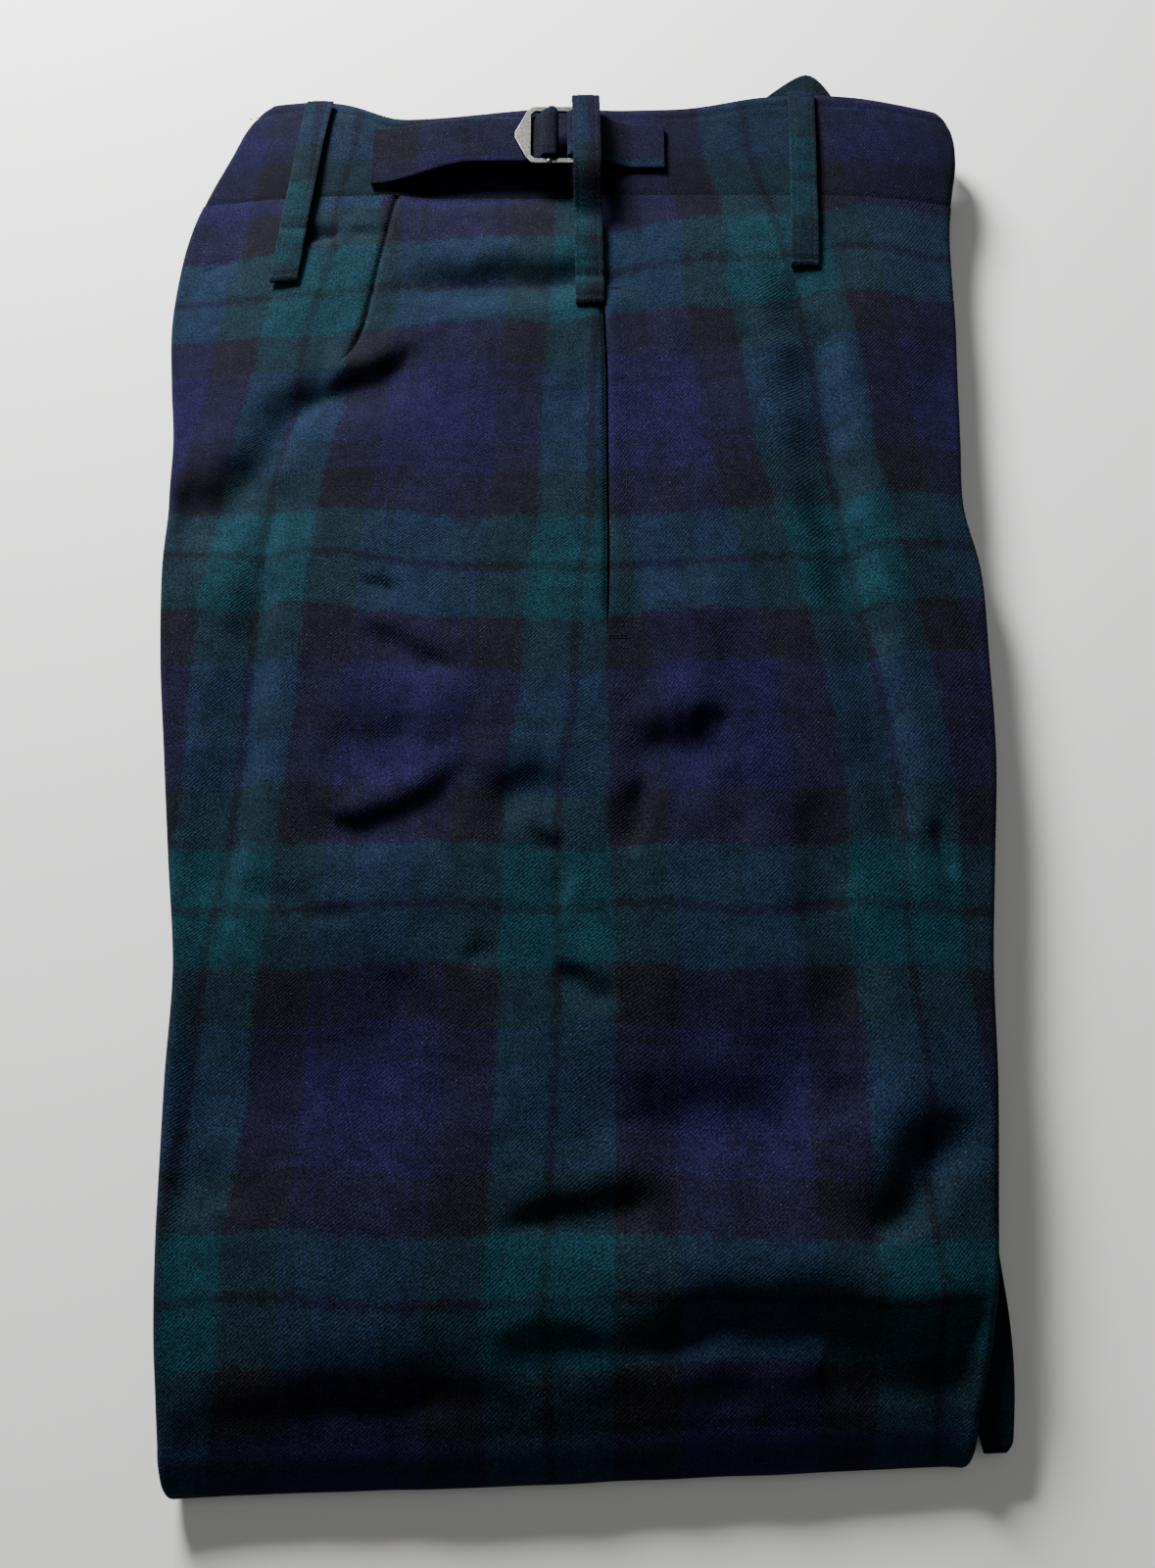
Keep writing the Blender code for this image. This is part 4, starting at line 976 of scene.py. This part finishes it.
def bar_turn(centre_x, start, end, steps):
    """The outer face of a cloth that turns over one of the buckle's bars, as x and height."""
    centre = buckle_rest() + BUCKLE_LIFT + BUCKLE_PLATE / 2.0
    radius = BUCKLE_PLATE / 2.0 + SEAM_GAP + 0.1 + STRAP_CLOTH
    angles = [math.radians(start + (end - start) * i / steps) for i in range(steps + 1)]
    half_bar = BUCKLE_BAR / 2.0
    return [
        (
            centre_x + radius * math.cos(a) + half_bar * max(min(2.0 * math.cos(a), 1.0), -1.0),
            centre + radius * math.sin(a),
        )
        for a in angles
    ]


def strap_path():
    """The long strap along its length: sewn down, lifted, under the plate and over the bar."""
    share = np.linspace(0.0, 1.0, 40)
    x = STRAP_LEFT_X + (STRAP_UNDER_X - STRAP_LEFT_X) * share
    base = surface(x, STRAP_LEFT_Y + 6.0) + STRAP_CLOTH + SEAM_GAP + 0.4
    lifted = base + STRAP_LIFT * smooth(share / 0.6)
    return list(zip(x, lifted)) + bar_turn(MIDDLE_BAR_X, 165.0, -20.0, 24)


def tab_path():
    """The short tab: over the end bar, then down to where it is sewn to the waistband."""
    path = bar_turn(END_BAR_X, 200.0, 75.0, 18)
    start_x, start_z = path[-1]
    x = np.linspace(start_x, TAB_RIGHT_X, 41)[1:]
    base = surface(x, BUCKLE_Y) + STRAP_CLOTH + SEAM_GAP + 0.3
    share = smooth((x - start_x) / (TAB_SEWN_X - start_x))
    return path + list(zip(x, start_z + (base - start_z) * share))


STRIP_COLUMNS, STRIP_ROWS = 22, 110


def strip_place(path, across_at):
    """A strip whose middle follows a path in x and height; across_at() gives its y and width."""
    path = np.array(path)
    steps = np.hypot(*np.diff(path, axis=0).T)
    run = np.concatenate([[0.0], np.cumsum(steps)])

    def where(c, r):
        at = run[-1] * r / STRIP_ROWS
        x, z = np.interp(at, run, path[:, 0]), np.interp(at, run, path[:, 1])
        across = 2.0 * c / STRIP_COLUMNS - 1.0
        middle, width = across_at(x, at, run[-1])
        off = (1.0 - np.abs(across)) * width / 2.0
        edge = -0.3 * ridge(off - 2.6, 0.7) - 0.45 * ridge(off, 0.8)
        return np.stack([x, middle + across * width / 2.0, z + edge], axis=-1)

    return where


def strap_across(x, at, length):
    share = (x - STRAP_LEFT_X) / (STRAP_UNDER_X - STRAP_LEFT_X)
    width = STRAP_LEFT_WIDTH + (STRAP_RIGHT_WIDTH - STRAP_LEFT_WIDTH) * smooth(share * 1.6)
    middle = STRAP_LEFT_Y + (STRAP_RIGHT_Y - STRAP_LEFT_Y) * smooth(share * 1.4)
    bulge = ridge(length - at - 5.2, 2.6)
    return middle + 0.8 * bulge, width + 2.6 * bulge


def tab_across(x, at, length):
    return np.full_like(x, BUCKLE_Y), np.full_like(x, TAB_WIDTH)


def mirrored(points):
    """An outline about the buckle's middle, from the half of it that is above."""
    below = [(x, BUCKLE_Y - y) for x, y in points]
    return below + [(x, BUCKLE_Y + y) for x, y in reversed(points)]


def buckle_outlines():
    """The buckle's outline and its two windows."""
    half = BUCKLE_HEIGHT / 2.0
    left, right = BUCKLE_X, BUCKLE_X + BUCKLE_LENGTH
    inner = half - BUCKLE_BAR
    bar_left = MIDDLE_BAR_X - BUCKLE_BAR / 2.0
    corner = [(left, 1.5), (left + 5.0, half - 3.0), (left + 7.0, half - 0.4), (left + 9.0, half)]
    outline = mirrored(corner + [(right - 1.0, half), (right, half - 1.0)])
    first = mirrored([(left + 6.6, inner - 2.0), (left + 8.6, inner), (bar_left, inner)])
    second = mirrored([(bar_left + BUCKLE_BAR, inner), (right - BUCKLE_BAR, inner)])
    return outline, first[::-1], second[::-1]


def buckle_mesh():
    """The slide buckle: a flat outline with two windows, stamped with rounded edges."""
    bevel = 0.3
    curve = bpy.data.curves.new("buckle_outline", "CURVE")
    curve.dimensions = "2D"
    curve.fill_mode = "BOTH"
    curve.extrude = (BUCKLE_PLATE / 2.0 - bevel) * MM
    curve.bevel_depth = bevel * MM
    curve.bevel_resolution = 3
    for points in buckle_outlines():
        spline = curve.splines.new("POLY")
        spline.points.add(len(points) - 1)
        for point, (x, y) in zip(spline.points, points):
            point.co = (x * MM, y * MM, 0.0, 1.0)
        spline.use_cyclic_u = True
    shape = bpy.data.objects.new("buckle_outline", curve)
    bpy.context.scene.collection.objects.link(shape)
    graph = bpy.context.evaluated_depsgraph_get()
    data = bpy.data.meshes.new_from_object(shape.evaluated_get(graph))
    bpy.data.objects.remove(shape)
    bpy.data.curves.remove(curve)
    mesh = bmesh.new()
    mesh.from_mesh(data)
    bpy.data.meshes.remove(data)
    bmesh.ops.remove_doubles(mesh, verts=mesh.verts, dist=0.00001)
    height = buckle_rest() + BUCKLE_LIFT + BUCKLE_PLATE / 2.0
    for sign in (-1.0, 1.0):
        knob = bmesh.ops.create_uvsphere(mesh, u_segments=16, v_segments=10, radius=1.5 * MM)
        y = BUCKLE_Y + sign * (BUCKLE_HEIGHT / 2.0 - 0.6)
        bmesh.ops.translate(mesh, verts=knob["verts"], vec=Vector((MIDDLE_BAR_X, y, 0.0)) * MM)
    bmesh.ops.translate(mesh, verts=mesh.verts, vec=Vector((0.0, -ORIGIN_Y, height)) * MM)
    return mesh


# A stitch every so many millimetres, and its half length, width and height
STITCH_PITCH = 2.7
STITCH_SIZE = (1.0, 0.27, 0.22)


def stitch_row(mesh, points, pitch=STITCH_PITCH, size=STITCH_SIZE):
    """Stitches along a line of places, each a short ridge of thread."""
    points = np.array(points, float) - (0.0, ORIGIN_Y, 0.0)
    steps = np.linalg.norm(np.diff(points, axis=0), axis=1)
    run = np.concatenate([[0.0], np.cumsum(steps)])
    at = np.arange(pitch / 2.0, run[-1], pitch)
    for low, high in zip(at - size[0], at + size[0]):
        ends = [Vector([np.interp(t, run, points[:, k]) for k in range(3)]) for t in (low, high)]
        made = bmesh.ops.create_icosphere(mesh, subdivisions=1, radius=MM)["verts"]
        bmesh.ops.scale(mesh, verts=made, vec=size)
        turn = (ends[1] - ends[0]).to_track_quat("X", "Z").to_matrix()
        bmesh.ops.rotate(mesh, verts=made, cent=(0, 0, 0), matrix=turn)
        bmesh.ops.translate(mesh, verts=made, vec=(ends[0] + ends[1]) / 2.0 * MM)


def on_panel(x, y, lift=0.0):
    seam = stack("seam", y)
    z = top_height(x, y) + seam_dip(1, x, y, seam)
    return placed(x, y, z + lift)


def on_band(x, down):
    top_y = band_top(x)
    share = 1.0 - down / (top_y - BAND_SEAM_Y)
    y = BAND_SEAM_Y + (top_y - BAND_SEAM_Y) * share
    return np.stack([x, y, top_height(x, y) + band_detail(x, share, top_y)], axis=-1)


def stitching_mesh():
    mesh = bmesh.new()
    stitch_row(mesh, on_band(np.arange(-150.0, 166.0, 2.0), 6.5))
    mouth = np.arange(POCKET_TOP_Y, POCKET_FOOT_Y, -4.0)
    stitch_row(mesh, on_panel(stack("seam", mouth) + 8.0, mouth))
    for y in (POCKET_TOP_Y, POCKET_FOOT_Y):
        x = float(stack("seam", y)) + 0.5 + np.linspace(0.0, 8.0, 9)
        for step in (-0.5, 0.5):
            stitch_row(mesh, on_panel(x, np.full(9, y + step), 0.1), 1.5, (0.75, 0.3, 0.25))
    for loop in LOOPS:
        for across in (-0.67, 0.67):
            line = loop_point(loop, np.full(60, across), np.linspace(0.0, 0.98, 60))
            stitch_row(mesh, line)
        for from_base in (3.0, 3.8):
            share = 1.0 - from_base / (loop.top_y - loop.base_y)
            line = loop_point(loop, np.linspace(-0.9, 0.9, 15), np.full(15, share))
            stitch_row(mesh, line, 1.3, (0.7, 0.3, 0.25))
    return mesh


def colour_setting(name, description, colour):
    return FloatVectorProperty(
        name=name, description=description, subtype="COLOR", size=3, min=0.0, max=1.0,
        default=linear(colour)[:3],
    )


class TREWS_PG_cloth(bpy.types.PropertyGroup):
    """The cloth's dyes and weave"""

    blue: colour_setting("Blue", "Dye of the blue checks", "181533")
    green: colour_setting("Green", "Dye of the green checks", "102A33")
    black: colour_setting("Black", "Dye of the black checks", "14141C")
    line: colour_setting("Lines", "Dye of the narrow lines", "151328")
    guard: colour_setting("Guard line", "Dye of the line in the green checks", "0D161C")
    twill_pitch: FloatProperty(
        name="Twill pitch", description="Distance from one rib of the twill to the next",
        subtype="DISTANCE", unit="LENGTH", default=0.0015, min=0.0005, max=0.005,
    )
    nap: FloatProperty(
        name="Nap", description="How much the cloth's raised fibres catch the light",
        subtype="FACTOR", default=0.03, min=0.0, max=1.0,
    )


class TREWS_PG_folds(bpy.types.PropertyGroup):
    """How the cloth lies"""

    depth: FloatProperty(
        name="Crease depth", description="Depth of the creases against those in the tables",
        subtype="FACTOR", default=1.0, min=0.0, max=1.5,
    )
    unevenness: FloatProperty(
        name="Unevenness", description="Height of the slow waves between the creases",
        subtype="DISTANCE", unit="LENGTH", default=0.0008, min=0.0, max=0.002,
    )


class TREWS_PG_stage(bpy.types.PropertyGroup):
    """The floor and the lamps"""

    floor: colour_setting("Floor", "Colour of the floor", "F2F1EF")
    key: FloatProperty(
        name="Window light", description="Strength of the light from the waist side",
        subtype="POWER", unit="POWER", default=48.0, min=0.0,
    )
    fill: FloatProperty(
        name="Room light", description="Strength of the light from all round",
        default=0.075, min=0.0,
    )


class TREWS_OT_outer_panels(bpy.types.Operator):
    """Makes the near leg's back and front panels"""

    bl_idname = "trews.outer_panels"
    bl_label = "Outer panels"

    def execute(self, context):
        wool = tartan_wool("twill_wool")
        size = (PANEL_COLUMNS, PANEL_ROWS)
        for name, side in (("near_back_panel", -1), ("near_front_panel", 1)):
            where, cut = panel_place(side), panel_cut(side)
            panel = cloth_piece(name, size, where, cut, wool, "tartan_wool", CLOTH)
        return {"FINISHED"}


class TREWS_OT_hidden_layers(bpy.types.Operator):
    """Makes the hidden legs as one rounded solid with layered edges"""

    bl_idname = "trews.hidden_layers"
    bl_label = "Hidden layers"

    def execute(self, context):
        # The hidden layers' wool at half brightness: painted shade for the gaps and folds they lie
        # in
        wool = tartan_wool("twill_inner", 0.5)
        legs = finished("hidden_layers", hidden_mesh(), wool)
        return {"FINISHED"}


class TREWS_OT_waistbands(bpy.types.Operator):
    """Makes the near and far legs' waistbands"""

    bl_idname = "trews.waistbands"
    bl_label = "Waistbands"

    def execute(self, context):
        # The waistbands' wool is the panels' twill scaled darker, as painted shade
        wool = tartan_wool("twill_band", 0.72)
        near = ("near_waistband", (BAND_COLUMNS, BAND_ROWS), band_place, band_cut)
        near = cloth_piece(*near, wool, "tartan_wool", BAND_CLOTH, 1.2)
        far = ("far_waistband", (FAR_COLUMNS, FAR_ROWS), far_band_place, plain_cut(0.05, -0.3))
        far = cloth_piece(*far, wool, "tartan_wool", BAND_CLOTH, 1.2)
        return {"FINISHED"}


class TREWS_OT_belt_loops(bpy.types.Operator):
    """Makes the three long belt loops"""

    bl_idname = "trews.belt_loops"
    bl_label = "Belt loops"

    def execute(self, context):
        # The loops' wool is the panels' twill scaled darker, as painted shade
        wool = tartan_wool("twill_trim", 0.74)
        size = (LOOP_COLUMNS, LOOP_ROWS)
        for loop in LOOPS:
            where, cut = loop_place(loop), plain_cut(loop.u0, loop.v0)
            obj = cloth_piece(loop.name, size, where, cut, wool, "tartan_trim", LOOP_CLOTH, 0.5)
        return {"FINISHED"}


class TREWS_OT_adjuster(bpy.types.Operator):
    """Makes the side adjuster's strap, tab and slide buckle"""

    bl_idname = "trews.adjuster"
    bl_label = "Side adjuster"

    def execute(self, context):
        # The strap and tab use the loops' wool, scaled darker as painted shade
        wool = bpy.data.materials["twill_trim"]
        size = (STRIP_COLUMNS, STRIP_ROWS)
        strips = (
            ("adjuster_strap", strap_path(), strap_across, (0.59, 1.17), 0.095),
            ("adjuster_tab", tab_path(), tab_across, (1.131, 1.33), 0.053),
        )
        for name, path, across, start, length in strips:
            where, cut = strip_place(path, across), plain_cut(*start, (0.0, 1.0))
            obj = cloth_piece(name, size, where, cut, wool, "tartan_trim", STRAP_CLOTH, 0.5)
        finished("adjuster_buckle", buckle_mesh(), nickel_plate("nickel_plate"))
        return {"FINISHED"}


class TREWS_OT_stitching(bpy.types.Operator):
    """Makes the stitching that shows"""

    bl_idname = "trews.stitching"
    bl_label = "Stitching"

    def execute(self, context):
        thread = sewing_thread("sewing_thread")
        finished("stitching", stitching_mesh(), thread, replaces=False)
        return {"FINISHED"}


def staged(name, data, place=(0.0, 0.0, 0.0), turn=(0.0, 0.0, 0.0)):
    """An object of the stage, which isn't part of the trews."""
    obj = bpy.data.objects.new(name, data)
    obj.location = place
    obj.rotation_euler = turn
    bpy.context.scene.collection.objects.link(obj)
    return obj


class TREWS_OT_stage(bpy.types.Operator):
    """Makes the floor, the lamps and the camera"""

    bl_idname = "trews.stage"
    bl_label = "Stage"

    def execute(self, context):
        stage = context.scene.trews_stage
        mesh = bmesh.new()
        bmesh.ops.create_grid(mesh, x_segments=1, y_segments=1, size=3.0)
        data = bpy.data.meshes.new("floor")
        mesh.to_mesh(data)
        mesh.free()
        data.materials.append(floor_board("floor"))
        staged("floor", data)
        world = bpy.data.worlds.new("room")
        world.use_nodes = True
        background = world.node_tree.nodes["Background"]
        background.inputs["Color"].default_value = linear("FFFFFF")
        background.inputs["Strength"].default_value = stage.fill
        context.scene.world = world
        target = Vector(AIM)
        for name, place, size, power in (
            ("window", (-0.46, 0.93, 0.54), 0.36, stage.key),
            ("ceiling", (0.1, 0.1, 1.5), 1.2, stage.key * CEILING_SHARE),
        ):
            lamp = bpy.data.lights.new(name, "AREA")
            lamp.energy = power
            lamp.size = size
            turn = (target - Vector(place)).to_track_quat("-Z", "Y").to_euler()
            staged(name, lamp, place, turn)
        tilt = math.radians(CAMERA_TILT)
        lens = bpy.data.cameras.new("camera")
        lens.lens = CAMERA_LENS
        lens.sensor_width = 36.0
        look = Vector((0.0, math.sin(tilt), -math.cos(tilt)))
        place = target - look * CAMERA_DISTANCE
        context.scene.camera = staged("camera", lens, place, (tilt, 0.0, 0.0))
        return {"FINISHED"}


class TREWS_PT_trews(bpy.types.Panel):
    """The trews' pieces and settings"""

    bl_idname = "TREWS_PT_trews"
    bl_label = "Tartan Trews"
    bl_space_type = "VIEW_3D"
    bl_region_type = "UI"
    bl_category = "Trews"

    def draw(self, context):
        scene = context.scene
        for group in (scene.trews_cloth, scene.trews_folds, scene.trews_stage):
            box = self.layout.box()
            for name in group.bl_rna.properties.keys():
                if name not in ("rna_type", "name"):
                    box.prop(group, name)
        for operator in OPERATORS:
            self.layout.operator(operator.bl_idname)


OPERATORS = (
    TREWS_OT_outer_panels,
    TREWS_OT_hidden_layers,
    TREWS_OT_waistbands,
    TREWS_OT_belt_loops,
    TREWS_OT_adjuster,
    TREWS_OT_stitching,
    TREWS_OT_stage,
)
CLASSES = (TREWS_PG_cloth, TREWS_PG_folds, TREWS_PG_stage, *OPERATORS, TREWS_PT_trews)


def register():
    for cls in CLASSES:
        bpy.utils.register_class(cls)
    bpy.types.Scene.trews_cloth = PointerProperty(type=TREWS_PG_cloth)
    bpy.types.Scene.trews_folds = PointerProperty(type=TREWS_PG_folds)
    bpy.types.Scene.trews_stage = PointerProperty(type=TREWS_PG_stage)


def unregister():
    del bpy.types.Scene.trews_stage
    del bpy.types.Scene.trews_folds
    del bpy.types.Scene.trews_cloth
    for cls in reversed(CLASSES):
        bpy.utils.unregister_class(cls)


def main():
    register()
    bpy.ops.trews.outer_panels()
    bpy.ops.trews.hidden_layers()
    bpy.ops.trews.waistbands()
    bpy.ops.trews.belt_loops()
    bpy.ops.trews.adjuster()
    bpy.ops.trews.stitching()
    bpy.ops.trews.stage()


if __name__ == "__main__":
    main()
